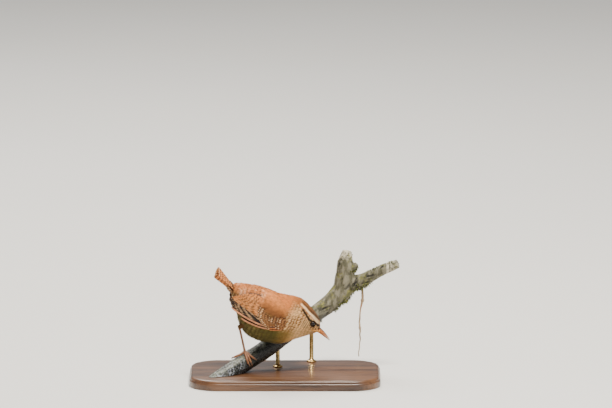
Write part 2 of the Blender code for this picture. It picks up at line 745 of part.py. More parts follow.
def make_finishes():
    """One plain material for each kind of surface."""
    return {
        "rufous": material("rufous_feathers", (0.42, 0.22, 0.11), 0.8),
        "buff": material("buff_feathers", (0.36, 0.24, 0.13), 0.85),
        "barred": material("barred_feathers", (0.40, 0.20, 0.09), 0.7),
        "eye": material("eye", (0.01, 0.008, 0.006), 0.08),
        "horn": material("bill_horn", (0.20, 0.15, 0.11), 0.4),
        "bill": material("bill_orange", (0.62, 0.27, 0.06), 0.4),
        "leg": material("leg_skin", (0.28, 0.12, 0.06), 0.5),
        "bark": material("bark", (0.16, 0.14, 0.10), 0.9),
        "stand": material("stand_wood", (0.12, 0.06, 0.03), 0.45),
        "brass": material("rod_brass", (0.72, 0.52, 0.24), 0.3, 1.0),
    }


def main():
    """Build every node."""
    shop = Workshop()
    finishes = make_finishes()
    torso = build_body(shop, finishes)
    build_bill(shop, finishes)
    build_tail(shop, finishes)
    build_wings(shop, finishes)
    body_space = shop.cutter("body_space", body_part(HEAD_CUT, BODY_STATIONS[-1, 0], 24, 0.35))
    build_leg(shop, finishes, "right", HIP_RIGHT, HEEL_RIGHT, FOOT_RIGHT, TOES_RIGHT, body_space)
    build_leg(shop, finishes, "left", HIP_LEFT, HEEL_LEFT, FOOT_LEFT, TOES_LEFT, body_space)
    perch = build_perch(shop, finishes)
    build_stand(shop, finishes, perch)
    clear = smooth_path(BRANCH_STEM + np.array([0.0, 0.0, 0.0, 0.5]), 14)
    shop.cut(torso, shop.cutter("branch_space", tube(*clear, 5)))
    foot_space = foot_mesh(shop, FOOT_LEFT, TOES_LEFT, GAP + 0.1)
    shop.cut(torso, shop.cutter("foot_space", foot_space))


if __name__ == "__main__":
    main()
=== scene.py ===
"""The looks of a wren on a cut length of branch, held on a display base at life size.

Sizes in the classes are millimetres and repeat the part's named sizes; points become metres where
a mesh is made. +X is the way the bird faces, +Z is up, its right side is towards -Y, and the
origin is the centre of the base's underside. Every piece is a surface worked out with numpy.
"""

import logging
import math
from dataclasses import dataclass, field
from enum import Enum
from typing import Callable, Sequence

import bpy
import numpy as np
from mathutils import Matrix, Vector


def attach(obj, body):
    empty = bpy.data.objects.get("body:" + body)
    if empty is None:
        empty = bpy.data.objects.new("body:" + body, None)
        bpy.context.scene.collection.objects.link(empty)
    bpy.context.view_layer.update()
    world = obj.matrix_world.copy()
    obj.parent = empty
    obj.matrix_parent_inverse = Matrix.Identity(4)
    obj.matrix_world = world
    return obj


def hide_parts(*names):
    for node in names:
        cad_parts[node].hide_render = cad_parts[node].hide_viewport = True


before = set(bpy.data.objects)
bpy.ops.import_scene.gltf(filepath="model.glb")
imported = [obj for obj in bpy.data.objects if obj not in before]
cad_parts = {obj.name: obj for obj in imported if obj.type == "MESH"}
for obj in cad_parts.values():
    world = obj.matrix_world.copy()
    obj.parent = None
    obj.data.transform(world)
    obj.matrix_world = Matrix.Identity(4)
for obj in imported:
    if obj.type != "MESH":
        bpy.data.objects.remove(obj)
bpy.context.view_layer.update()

MM = 0.001
ROOT = "root"
BAKE_MAP = "OFBake"
PATCH = 0.003
GOLDEN_ANGLE = 2.399963
Array = np.ndarray
Table = tuple[tuple[float, ...], ...]
Chart = Callable[[Array, Array, Array], Array]
Colour = tuple[float, float, float]
Signal = bpy.types.NodeSocket | float | Sequence[float]
Outputs = bpy.types.bpy_prop_collection
log = logging.getLogger("wren")


class Slot(Enum):
    """The record's material slots."""

    RUFOUS = "rufous_feathers"
    BUFF = "buff_feathers"
    BARRED = "barred_feathers"
    EYE = "eye"
    HORN = "bill_horn"
    ORANGE = "bill_orange"
    LEG = "leg_skin"
    BARK = "bark"
    WOOD = "stand_wood"
    BRASS = "rod_brass"


class Side(Enum):
    """The bird's right and left, as the sign of Y."""

    RIGHT = -1
    LEFT = 1

    @property
    def word(self) -> str:
        """The side's name as the nodes have it."""
        return self.name.lower()


def smooth(stations: Table, column: int, at: Array | float) -> Array:
    """Cubic curve through one column of a table, with slopes from the neighbours.

    Args:
        stations: Rows whose first value is the place along the curve.
        column: The column that is read.
        at: Places, held inside the table's ends.

    Returns:
        The column's value at each place.
    """
    table = np.asarray(stations, dtype=float)
    places = table[:, 0]
    values = table[:, column]
    slopes = np.gradient(values, places)
    at = np.clip(np.asarray(at, dtype=float), places[0], places[-1])
    low = np.clip(np.searchsorted(places, at) - 1, 0, len(places) - 2)
    span = places[low + 1] - places[low]
    t = (at - places[low]) / span
    return ((2 * t**3 - 3 * t**2 + 1) * values[low]
            + (t**3 - 2 * t**2 + t) * span * slopes[low]
            + (3 * t**2 - 2 * t**3) * values[low + 1]
            + (t**3 - t**2) * span * slopes[low + 1])


def turns(count: int) -> Array:
    """Angles spread evenly round a circle."""
    return np.arange(count) * 2 * math.pi / count


def unit(vectors: Array) -> Array:
    """Vectors along the last axis, made 1 long."""
    return vectors / np.maximum(np.linalg.norm(vectors, axis=-1, keepdims=True), 1e-9)


def ease(low: Array | float, high: Array | float, value: Array) -> Array:
    """Smooth step from 0 at low to 1 at high: 3t squared less 2t cubed."""
    t = np.clip((np.asarray(value) - low) / (np.asarray(high) - low), 0.0, 1.0)
    return t * t * (3 - 2 * t)


def mix(first: Array, second: Array, share: Array | float) -> Array:
    """Colours or points between two others, by a share without the last axis."""
    share = np.asarray(share)[..., None]
    return first + (second - first) * share


def linear(red: float, green: float, blue: float) -> Array:
    """A colour given in 0 to 255 as the screen shows it, as linear light."""
    value = np.array([red, green, blue]) / 255.0
    return np.where(value <= 0.04045, value / 12.92, ((value + 0.055) / 1.055) ** 2.4)


def hue(red: float, green: float, blue: float) -> Array:
    """A dataclass field that holds a screen colour as linear light."""
    return field(default_factory=lambda: linear(red, green, blue))


def deepen(colour: Array) -> Array:
    """Colours made richer and darker, as a power of each channel, for strong light."""
    return 1.08 * np.clip(colour, 0.0, 1.0) ** 1.38


def lie_values(along: Array, across: Array, pick: Array) -> Array:
    """The value lie of a feather's points: along it, across it, and its own pick from 0 to 1."""
    return np.stack(np.broadcast_arrays(along, across, pick), axis=-1)


def line_distance(first: Array, second: Array, line: Table) -> tuple[Array, Array]:
    """Distance from points of a plane to a line of straight stretches.

    Args:
        first: The points' first coordinates.
        second: Their second coordinates.
        line: The line's corners.

    Returns:
        The distance, and how far along the line the nearest point is, from 0 to 1.
    """
    spots = np.stack([first, second], axis=-1)
    corners = np.asarray(line, dtype=float)
    best = np.full(np.shape(first), np.inf)
    share = np.zeros(np.shape(first))
    for number in range(len(corners) - 1):
        run = corners[number + 1] - corners[number]
        t = np.clip(((spots - corners[number]) @ run) / (run @ run), 0.0, 1.0)
        gap = np.linalg.norm(spots - corners[number] - t[..., None] * run, axis=-1)
        nearer = gap < best
        best = np.where(nearer, gap, best)
        share = np.where(nearer, (number + t) / (len(corners) - 1), share)
    return best, share


def noise(points: Array, size: float, seed: int = 0) -> Array:
    """Smooth noise from -1 to 1.

    The corners of a cube lattice each get a value from a hash of their numbers, and a point
    blends its eight corners by a smooth step.

    Args:
        points: Places, the last axis being x, y and z.
        size: Edge of the lattice's cubes.
        seed: Which field of noise.

    Returns:
        One value for each point.
    """
    scaled = np.asarray(points, dtype=float) / size + 1000.0
    corner = np.floor(scaled).astype(np.int64)
    t = scaled - corner
    t = t * t * (3 - 2 * t)
    total = np.zeros(scaled.shape[:-1])
    for number in range(8):
        offset = np.array([number & 1, number >> 1 & 1, number >> 2 & 1])
        cell = corner + offset
        mixed = (cell[..., 0] * 73856093) ^ (cell[..., 1] * 19349663) ^ (cell[..., 2] * 83492791)
        mixed = (mixed ^ (seed * 2654435761)) & 0xFFFFFFFF
        mixed = (mixed * 1103515245 + 12345) & 0xFFFFFFFF
        mixed = ((mixed >> 13) ^ mixed) * 1597334677 & 0xFFFFFFFF
        weight = np.prod(np.where(offset == 1, t, 1 - t), axis=-1)
        total += weight * (mixed / 0xFFFFFFFF * 2 - 1)
    return total


def rough(points: Array, size: float, octaves: int = 4, seed: int = 0) -> Array:
    """Noise summed over finer and finer lattices, each half as strong as the last.

    Args:
        points: Places, the last axis being x, y and z.
        size: Edge of the coarsest lattice's cubes.
        octaves: How many lattices.
        seed: Which field of noise.

    Returns:
        One value for each point.
    """
    total = np.zeros(np.shape(points)[:-1])
    for octave in range(octaves):
        total += noise(points, size / 2**octave, seed + octave) / 2**octave
    return total / 1.6


def grid_faces(rows: int, columns: int, closed: bool = False) -> Array:
    """Quads between neighbours of a grid of points, whose normal is rows crossed with columns.

    Args:
        rows: How many rows.
        columns: How many points in a row.
        closed: Whether a row's last point meets its first.

    Returns:
        The quads.
    """
    row, column = np.meshgrid(np.arange(rows - 1), np.arange(columns if closed else columns - 1),
                              indexing="ij")
    onward = (column + 1) % columns
    return np.stack([row * columns + column, (row + 1) * columns + column,
                     (row + 1) * columns + onward, row * columns + onward], axis=-1).reshape(-1, 4)


def cap_faces(rows: int, columns: int) -> Array:
    """Triangles that close the two ends of a loft of rings, each round a centre point.

    Args:
        rows: How many rings.
        columns: How many points in a ring.

    Returns:
        The triangles, where the two centre points follow the rings' points.
    """
    here = np.arange(columns)
    onward = (here + 1) % columns
    last = (rows - 1) * columns
    centre = rows * columns
    near = np.stack([np.full(columns, centre), here, onward], axis=-1)
    far = np.stack([np.full(columns, centre + 1), last + onward, last + here], axis=-1)
    return np.concatenate([near, far])


class Draft:
    """Points, faces and values for each point, gathered as arrays until the mesh is made."""

    def __init__(self) -> None:
        """Start with nothing."""
        self.points: list[Array] = []
        self.faces: list[Array] = []
        self.values: dict[str, list[Array]] = {}
        self.total = 0

    def add(self, points: Array, faces: Sequence[Array], **values: Array) -> None:
        """Add a surface.

        Args:
            points: Places in millimetres, one row each.
            faces: Arrays of quads or triangles that number the points.
            values: Arrays with one row for each point: tint, lie, or patch for the bake map.
        """
        points = np.asarray(points).reshape(-1, 3)
        self.points.append(points)
        self.faces.extend(np.asarray(part) + self.total for part in faces)
        for name, value in values.items():
            value = np.asarray(value)
            self.values.setdefault(name, []).append(value.reshape(len(points), -1))
        self.total += len(points)

    def add_batch(self, points: Array, faces: Sequence[Array], **values: Array) -> None:
        """Add many surfaces of one pattern.

        Args:
            points: One row of places for each surface.
            faces: The faces of one surface.
            values: As for add, with one row for each surface.
        """
        count, size = points.shape[:2]
        steps = (np.arange(count) * size)[:, None, None]
        spread = [(part[None] + steps).reshape(-1, part.shape[1]) for part in faces]
        self.add(points, spread, **values)

    def add_loft(self, rings: Array, **values: Array) -> None:
        """Add closed lofts through rings of points, with their faces turned outwards.

        Args:
            rings: Points by loft, ring and place round the ring.
            values: Values in the same order, for the rings' points.
        """
        count, rows, columns = rings.shape[:3]
        middles = np.stack([rings[:, 0].mean(axis=1), rings[:, -1].mean(axis=1)], axis=1)
        points = np.concatenate([rings.reshape(count, -1, 3), middles], axis=1)
        quads = grid_faces(rows, columns, closed=True)
        caps = cap_faces(rows, columns)
        corners = points[:, quads]
        centre = points.mean(axis=1)[:, None, None]
        corners = corners - centre
        volume = np.einsum("nfi,nfi->n", corners[:, :, 0],
                           np.cross(corners[:, :, 1], corners[:, :, 2]))
        volume += np.einsum("nfi,nfi->n", corners[:, :, 0],
                            np.cross(corners[:, :, 2], corners[:, :, 3]))
        for turned, chosen in ((False, volume > 0), (True, volume <= 0)):
            if not chosen.any():
                continue
            faces = [part[:, ::-1] if turned else part for part in (quads, caps)]
            given = {}
            for name, value in values.items():
                value = value[chosen]
                ends = np.stack([value[:, 0].mean(axis=1), value[:, -1].mean(axis=1)], axis=1)
                flat = value.reshape(len(value), rows * columns, -1)
                given[name] = np.concatenate([flat, ends.reshape(len(value), 2, -1)], axis=1)
            self.add_batch(points[chosen], faces, **given)

    def finish(self, name: str, material: bpy.types.Material, slot: Slot,
               nodes: Sequence[str] = ()) -> bpy.types.Object:
        """Make the mesh and its object, ride it on the body and hide the CAD nodes that it replaces.

        Args:
            name: The piece's name.
            material: Its finish.
            slot: The record's slot meant for it; not used.
            nodes: CAD nodes that it replaces.

        Returns:
            The new object, at the origin, unturned and unscaled.
        """
        mesh = bpy.data.meshes.new(name)
        points = np.concatenate(self.points) * MM
        mesh.vertices.add(len(points))
        mesh.vertices.foreach_set("co", points.astype(np.float32).ravel())
        corners = np.concatenate([part.ravel() for part in self.faces]).astype(np.int32)
        sizes = np.concatenate([np.full(len(part), part.shape[1]) for part in self.faces])
        starts = np.concatenate([[0], np.cumsum(sizes)[:-1]]).astype(np.int32)
        mesh.loops.add(len(corners))
        mesh.loops.foreach_set("vertex_index", corners)
        mesh.polygons.add(len(sizes))
        mesh.polygons.foreach_set("loop_start", starts)
        mesh.update(calc_edges=True)
        for word, parts in self.values.items():
            value = np.concatenate(parts).astype(np.float32)
            if word == "patch":
                chart = mesh.uv_layers.new(name=BAKE_MAP)
                chart.uv.foreach_set("vector", value[corners].ravel())
            elif word == "tint":
                layer = mesh.color_attributes.new(name=word, type="FLOAT_COLOR", domain="POINT")
                layer.data.foreach_set("color", np.column_stack([value, np.ones(len(value))]).ravel())
            else:
                layer = mesh.attributes.new(name=word, type="FLOAT_VECTOR", domain="POINT")
                layer.data.foreach_set("vector", value.ravel())
        mesh.validate()
        mesh.shade_smooth()
        mesh.materials.append(material)
        return place_piece(name, mesh, nodes)


def place_piece(name: str, mesh: bpy.types.Mesh,
                nodes: Sequence[str] = ()) -> bpy.types.Object:
    """Put a mesh in the scene as a piece of the object.

    Args:
        name: The piece's name.
        mesh: Its finished mesh, with its material.
        nodes: CAD nodes that it replaces.

    Returns:
        The new object.
    """
    piece = bpy.data.objects.new(name, mesh)
    bpy.context.scene.collection.objects.link(piece)
    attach(piece, ROOT)
    if nodes:
        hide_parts(*nodes)
    return piece


def fuse(draft: Draft, voxel: float, passes: int = 4) -> tuple[Array, Array, Array]:
    """Join closed surfaces that cross into one, by a voxel remesh and a few relaxing passes.

    Args:
        draft: The closed surfaces.
        voxel: Edge of a voxel in millimetres.
        passes: How many times each point moves half way to the middle of its neighbours.

    Returns:
        The points in millimetres, the quads and the points' outward normals.
    """
    mesh = bpy.data.meshes.new("fused")
    quads = [face for part in draft.faces for face in part.tolist()]
    mesh.from_pydata((np.concatenate(draft.points) * MM).tolist(), [], quads)
    rough_piece = bpy.data.objects.new("fused", mesh)
    bpy.context.scene.collection.objects.link(rough_piece)
    step = rough_piece.modifiers.new("fuse", "REMESH")
    step.mode = "VOXEL"
    step.voxel_size = voxel * MM
    ready = rough_piece.evaluated_get(bpy.context.evaluated_depsgraph_get())
    fused = bpy.data.meshes.new_from_object(ready)
    bpy.data.objects.remove(rough_piece)
    bpy.data.meshes.remove(mesh)
    points = np.empty(len(fused.vertices) * 3, dtype=np.float32)
    fused.vertices.foreach_get("co", points)
    edges = np.empty(len(fused.edges) * 2, dtype=np.int32)
    fused.edges.foreach_get("vertices", edges)
    corners = np.empty(len(fused.loops), dtype=np.int32)
    fused.loops.foreach_get("vertex_index", corners)
    points = points.reshape(-1, 3).astype(float) / MM
    edges = edges.reshape(-1, 2)
    faces = corners.reshape(-1, 4)
    counts = np.bincount(edges.ravel(), minlength=len(points))[:, None]
    for _ in range(passes):
        total = np.zeros_like(points)
        np.add.at(total, edges[:, 0], points[edges[:, 1]])
        np.add.at(total, edges[:, 1], points[edges[:, 0]])
        points = (points + total / counts) / 2
    bpy.data.meshes.remove(fused)
    return points, faces, point_normals(points, faces)


def point_normals(points: Array, faces: Array) -> Array:
    """Normals of points, each the mean of its quads' normals.

    Args:
        points: The points.
        faces: The quads.

    Returns:
        One normal for each point.
    """
    across = np.cross(points[faces[:, 2]] - points[faces[:, 0]],
                      points[faces[:, 3]] - points[faces[:, 1]])
    total = np.zeros_like(points)
    for corner in range(4):
        np.add.at(total, faces[:, corner], across)
    return unit(total)


class Wiring:
    """A node tree while it is wired."""

    def __init__(self, tree: bpy.types.NodeTree) -> None:
        """Take the tree."""
        self.tree = tree

    def feed(self, node: bpy.types.Node, inputs: dict[str | int, Signal]) -> bpy.types.Node:
        """Link a node's inputs to sockets, or set their values.

        Args:
            node: The node.
            inputs: Values or output sockets, by the input's name or number.

        Returns:
            The node.
        """
        for name, value in inputs.items():
            if isinstance(value, bpy.types.NodeSocket):
                self.tree.links.new(value, node.inputs[name])
            elif node.inputs[name].type == "RGBA":
                node.inputs[name].default_value = (*value, 1.0)
            else:
                node.inputs[name].default_value = value
        return node

    def node(self, kind: str, settings: dict[str, object] | None = None,
             inputs: dict[str | int, Signal] | None = None) -> bpy.types.Node:
        """Add a node, set it and feed it.

        Args:
            kind: Blender's name of the node type.
            settings: Properties of the node.
            inputs: What its inputs take.

        Returns:
            The node.
        """
        made = self.tree.nodes.new(kind)
        for name, value in (settings or {}).items():
            setattr(made, name, value)
        return self.feed(made, inputs or {})

    def math(self, operation: str, first: Signal, second: Signal = 0.0,
             third: Signal = 0.0) -> bpy.types.NodeSocket:
        """A Math node's output."""
        inputs = {0: first, 1: second, 2: third}
        return self.node("ShaderNodeMath", {"operation": operation}, inputs).outputs[0]

    def blend(self, share: Signal, first: Signal, second: Signal,
              mode: str = "MIX") -> bpy.types.NodeSocket:
        """A colour Mix node's output."""
        settings = {"data_type": "RGBA", "blend_type": mode}
        return self.node("ShaderNodeMix", settings, {0: share, 6: first, 7: second}).outputs[2]

    def ramp(self, value: Signal, low: float, high: float, start: float = 0.0,
             end: float = 1.0) -> bpy.types.NodeSocket:
        """A Map Range node's output, smooth and held at its ends."""
        settings = {"interpolation_type": "SMOOTHSTEP"}
        inputs = {0: value, 1: low, 2: high, 3: start, 4: end}
        return self.node("ShaderNodeMapRange", settings, inputs).outputs[0]

    def noise(self, vector: Signal, scale: Signal, detail: float = 3.0,
              rough_share: float = 0.55) -> bpy.types.NodeSocket:
        """A Noise Texture's value."""
        inputs = {"Vector": vector, "Scale": scale, "Detail": detail, "Roughness": rough_share}
        return self.node("ShaderNodeTexNoise", {}, inputs).outputs["Fac"]

    def stretch(self, vector: Signal, scale: Sequence[float],
                turn: Sequence[float] = (0.0, 0.0, 0.0)) -> bpy.types.NodeSocket:
        """A Mapping node's output."""
        inputs = {"Vector": vector, "Scale": scale, "Rotation": turn}
        return self.node("ShaderNodeMapping", {}, inputs).outputs[0]

    def parts(self, vector: Signal) -> Outputs:
        """The three numbers of a vector."""
        return self.node("ShaderNodeSeparateXYZ", {}, {0: vector}).outputs


class Socket(Enum):
    """Kinds of group socket."""

    COLOUR = "NodeSocketColor"
    VALUE = "NodeSocketFloat"
    VECTOR = "NodeSocketVector"


@dataclass(frozen=True)
class Effect:
    """A shader node group that several finishes share.

    Args:
        name: The group's name.
        takes: Its inputs by name.
        gives: Its outputs by name.
    """

    name: str
    takes: dict[str, Socket]
    gives: dict[str, Socket]

    def build(self, wire: Callable) -> bpy.types.NodeTree:
        """Make the group once.

        Args:
            wire: Wires the group's inputs to its outputs.

        Returns:
            The group.
        """
        found = bpy.data.node_groups.get(self.name)
        if found:
            return found
        group = bpy.data.node_groups.new(self.name, "ShaderNodeTree")
        for name, kind in self.takes.items():
            group.interface.new_socket(name=name, in_out="INPUT", socket_type=kind.value)
        for name, kind in self.gives.items():
            group.interface.new_socket(name=name, in_out="OUTPUT", socket_type=kind.value)
        wiring = Wiring(group)
        start = wiring.node("NodeGroupInput")
        end = wiring.node("NodeGroupOutput")
        for name, socket in wire(wiring, start.outputs).items():
            group.links.new(socket, end.inputs[name])
        return group


def barb_grain() -> bpy.types.NodeTree:
    """Fine barbs across a feather: stripes that leave the shaft at a slant, broken by noise."""
    def wire(wiring: Wiring, given: Outputs) -> dict[str, bpy.types.NodeSocket]:
        """Shade the colour by the stripes, and give the stripes as a height."""
        parts = wiring.parts(given["Lie"])
        slant = wiring.math("ABSOLUTE", parts[1])
        phase = wiring.math("MULTIPLY_ADD", slant, -0.35, parts[0])
        phase = wiring.math("MULTIPLY", phase, given["Fineness"])
        grain = wiring.noise(given["Place"], 900.0, 3.0)
        phase = wiring.math("MULTIPLY_ADD", grain, 5.0, phase)
        wave = wiring.math("SINE", phase)
        wave = wiring.math("MULTIPLY_ADD", wave, 0.5, 0.5)
        broad = wiring.noise(given["Place"], 260.0, 4.0)
        shade = wiring.math("MULTIPLY_ADD", wave, 0.55, wiring.math("MULTIPLY", grain, 0.75))
        shade = wiring.math("MULTIPLY_ADD", broad, 0.6, wiring.math("SUBTRACT", shade, 0.9))
        shade = wiring.math("MULTIPLY_ADD", shade, given["Contrast"], 1.0)
        tone = wiring.node("ShaderNodeCombineColor", {}, {0: shade, 1: shade, 2: shade}).outputs[0]
        colour = wiring.blend(1.0, given["Colour"], tone, "MULTIPLY")
        return {"Colour": colour, "Height": wave}

    return Effect("barb_grain",
                  {"Colour": Socket.COLOUR, "Lie": Socket.VECTOR, "Place": Socket.VECTOR,
                   "Fineness": Socket.VALUE, "Contrast": Socket.VALUE},
                  {"Colour": Socket.COLOUR, "Height": Socket.VALUE}).build(wire)


def mottle() -> bpy.types.NodeTree:
    """Two colours mixed by noise, with the noise put out as a mask."""
    def wire(wiring: Wiring, given: Outputs) -> dict[str, bpy.types.NodeSocket]:
        """Mix the colours by the noise."""
        mask = wiring.ramp(wiring.noise(given["Place"], given["Scale"], 5.0, 0.6), 0.38, 0.64)
        return {"Colour": wiring.blend(mask, given["First"], given["Second"]), "Mask": mask}

    return Effect("mottle",
                  {"First": Socket.COLOUR, "Second": Socket.COLOUR, "Place": Socket.VECTOR,
                   "Scale": Socket.VALUE},
                  {"Colour": Socket.COLOUR, "Mask": Socket.VALUE}).build(wire)


class Finish:
    """A material while it is wired, with its Principled shader and Object coordinates."""

    def __init__(self, name: str, **constants: Signal) -> None:
        """Make the material.

        Args:
            name: The material's name.
            constants: Values for the shader's own sockets, with _ for a space in the name.
        """
        self.material = bpy.data.materials.new(name)
        self.material.use_nodes = True
        self.wiring = Wiring(self.material.node_tree)
        self.shader = self.material.node_tree.nodes["Principled BSDF"]
        self.wiring.feed(self.shader, {word.replace("_", " "): value
                                       for word, value in constants.items()})
        self.place = self.wiring.node("ShaderNodeTexCoord").outputs["Object"]

    def attribute(self, name: str, output: str) -> bpy.types.NodeSocket:
        """An attribute of the mesh."""
        return self.wiring.node("ShaderNodeAttribute", {"attribute_name": name}).outputs[output]

    def lie(self) -> Outputs:
        """The three numbers of the mesh's value lie."""
        return self.wiring.parts(self.attribute("lie", "Vector"))

    def group(self, tree: bpy.types.NodeTree, **inputs: Signal) -> Outputs:
        """Place a shared effect and return its outputs."""
        return self.wiring.node("ShaderNodeGroup", {"node_tree": tree}, inputs).outputs

    def mottled(self, first: Colour, second: Colour, scale: float,
                place: bpy.types.NodeSocket | None = None) -> Outputs:
        """The mottle effect's outputs, at Object coordinates or at another place."""
        return self.group(mottle(), First=first, Second=second, Scale=scale,
                          Place=self.place if place is None else place)

    def link(self, socket: bpy.types.NodeSocket, name: str) -> None:
        """Feed one of the shader's inputs."""
        self.wiring.tree.links.new(socket, self.shader.inputs[name])

    def colour(self, socket: bpy.types.NodeSocket) -> None:
        """Feed Base Color."""
        self.link(socket, "Base Color")

    def roughness(self, socket: bpy.types.NodeSocket) -> None:
        """Feed Roughness."""
        self.link(socket, "Roughness")

    def relief(self, height: bpy.types.NodeSocket, distance: float, strength: float = 1.0) -> None:
        """Feed Normal from a height in metres times distance."""
        inputs = {"Strength": strength, "Distance": distance, "Height": height}
        self.link(self.wiring.node("ShaderNodeBump", {}, inputs).outputs[0], "Normal")


@dataclass(frozen=True)
class FeatherFinish:
    """Matt keratin with a soft sheen: the mesh's tint, grained by barbs.

    Args:
        name: The material's name.
        fineness: Barb stripes along a feather, times 2 pi.
        contrast: How far the grain lightens and darkens.
        rough: Roughness of the vane.
        relief: Height of the barbs in metres.
    """

    name: str
    fineness: float
    contrast: float
    rough: float
    relief: float

    def build(self) -> bpy.types.Material:
        """Wire the material."""
        finish = Finish(self.name, Roughness=self.rough, Sheen_Weight=0.12, Sheen_Roughness=0.45,
                        Specular_IOR_Level=0.28, Sheen_Tint=(1.0, 0.86, 0.7))
        made = finish.group(barb_grain(), Colour=finish.attribute("tint", "Color"),
                            Lie=finish.attribute("lie", "Vector"), Place=finish.place,
                            Fineness=self.fineness, Contrast=self.contrast)
        finish.colour(made["Colour"])
        finish.relief(made["Height"], self.relief, 0.6)
        return finish.material


@dataclass(frozen=True)
class BodyForm:
    """The trunk of the bird: ovals carried along a straight axis that slopes down to the face.

    A point is the centre, plus the place along the axis, plus the middle height and half height
    times the cosine of its angle from the back, plus the half width times the sine.
    """

    centre: tuple[float, float, float] = (-12.0, 0.0, 46.3)
    tilt: float = math.radians(25.5)
    # Place along the axis towards the rear, back line, belly line, half width.
    stations: Table = (
        (-36.6, 7.3, 4.6, 1.7), (-35.2, 9.6, 2.2, 3.6), (-33.2, 12.3, 0.4, 5.6),
        (-30.6, 14.1, -2.0, 7.4), (-27.5, 15.9, -5.0, 8.6), (-24.0, 17.5, -8.3, 9.5),
        (-20.0, 19.0, -12.6, 10.8), (-15.5, 19.8, -15.6, 12.4), (-10.0, 18.8, -17.5, 13.9),
        (-4.5, 17.4, -19.0, 14.8), (1.5, 16.3, -19.7, 15.0), (7.0, 16.0, -19.1, 14.6),
        (12.0, 15.5, -16.7, 13.3), (16.0, 14.7, -13.2, 11.7), (20.0, 13.5, -8.0, 9.8),
        (24.0, 12.1, -3.4, 7.9), (27.0, 10.9, 0.2, 6.2), (29.2, 9.6, 3.4, 4.2),
        (30.2, 8.0, 5.4, 2.0),
    )
    # Place, depth of the coat, length of a feather, its width.
    coat: Table = (
        (-36.6, 0.25, 0.9, 0.5), (-34.0, 0.35, 1.2, 0.6), (-30.0, 0.5, 1.7, 0.85),
        (-24.0, 0.75, 2.5, 1.2), (-16.0, 1.1, 3.9, 1.9), (-5.0, 1.4, 5.4, 2.6),
        (10.0, 1.5, 6.2, 2.9), (22.0, 1.5, 6.4, 2.9), (30.2, 1.1, 5.0, 2.4),
    )

    @property
    def rear(self) -> Array:
        """The axis, towards the rear."""
        return np.array([-math.cos(self.tilt), 0.0, math.sin(self.tilt)])

    @property
    def back(self) -> Array:
        """Across the axis, towards the back."""
        return np.array([math.sin(self.tilt), 0.0, math.cos(self.tilt)])

    @property
    def ends(self) -> tuple[float, float]:
        """First and last place along the axis."""
        return self.stations[0][0], self.stations[-1][0]

    def section(self, place: Array, grow: Array | float = 0.0) -> tuple[Array, Array, Array]:
        """The oval at places along the axis.

        Args:
            place: The places.
            grow: How far the surface is grown, or shrunk where negative.

        Returns:
            Its middle height, half height and half width.
        """
        top = smooth(self.stations, 1, place) + grow
        belly = smooth(self.stations, 2, place) - grow
        return (top + belly) / 2, (top - belly) / 2, smooth(self.stations, 3, place) + grow

    def point(self, place: Array, angle: Array, grow: Array | float = 0.0) -> Array:
        """Points of the surface, or of one grown or shrunk from it.

        Args:
            place: Places along the axis.
            angle: Angles from the back.
            grow: How far the surface is grown.

        Returns:
            The points.
        """
        middle, half, width = self.section(place, grow)
        height = middle + half * np.cos(angle)
        out = width * np.sin(angle)
        flat = np.asarray(self.centre) + np.multiply.outer(place, self.rear)
        flat = flat + height[..., None] * self.back
        flat[..., 1] += out
        return flat

    def frame(self, place: Array, angle: Array) -> tuple[Array, Array, Array, Array]:
        """Points of the surface and how it lies there.

        Args:
            place: Places along the axis.
            angle: Angles from the back.

        Returns:
            The points, their normals, and how fast place and angle move them.
        """
        step = 0.02
        here = self.point(place, angle)
        along = (self.point(place + step, angle) - self.point(place - step, angle)) / (2 * step)
        around = (self.point(place, angle + step) - self.point(place, angle - step)) / (2 * step)
        speed = np.linalg.norm(along, axis=-1)
        turn = np.maximum(np.linalg.norm(around, axis=-1), 0.8)
        normal = unit(np.cross(around, along))
        return here, normal, speed, turn

    def across(self, points: Array) -> tuple[Array, Array]:
        """Place along the axis and height across it of points in the part's frame."""
        local = points - np.asarray(self.centre)
        return local @ self.rear, local @ self.back

    def side(self, place: Array, height: Array) -> Array:
        """Half width of the trunk at a height.

        Args:
            place: Places along the axis.
            height: Heights across it.

        Returns:
            The distance from the middle plane to the flank.
        """
        middle, half, width = self.section(place)
        return width * np.sqrt(np.clip(1 - ((height - middle) / half) ** 2, 0.0, 1.0))

    def flank(self, place: float, height: float, side: Side) -> Array:
        """One point of the flank."""
        point = np.asarray(self.centre) + self.rear * place + self.back * height
        point[1] += side.value * float(self.side(np.array(place), np.array(height)))
        return point


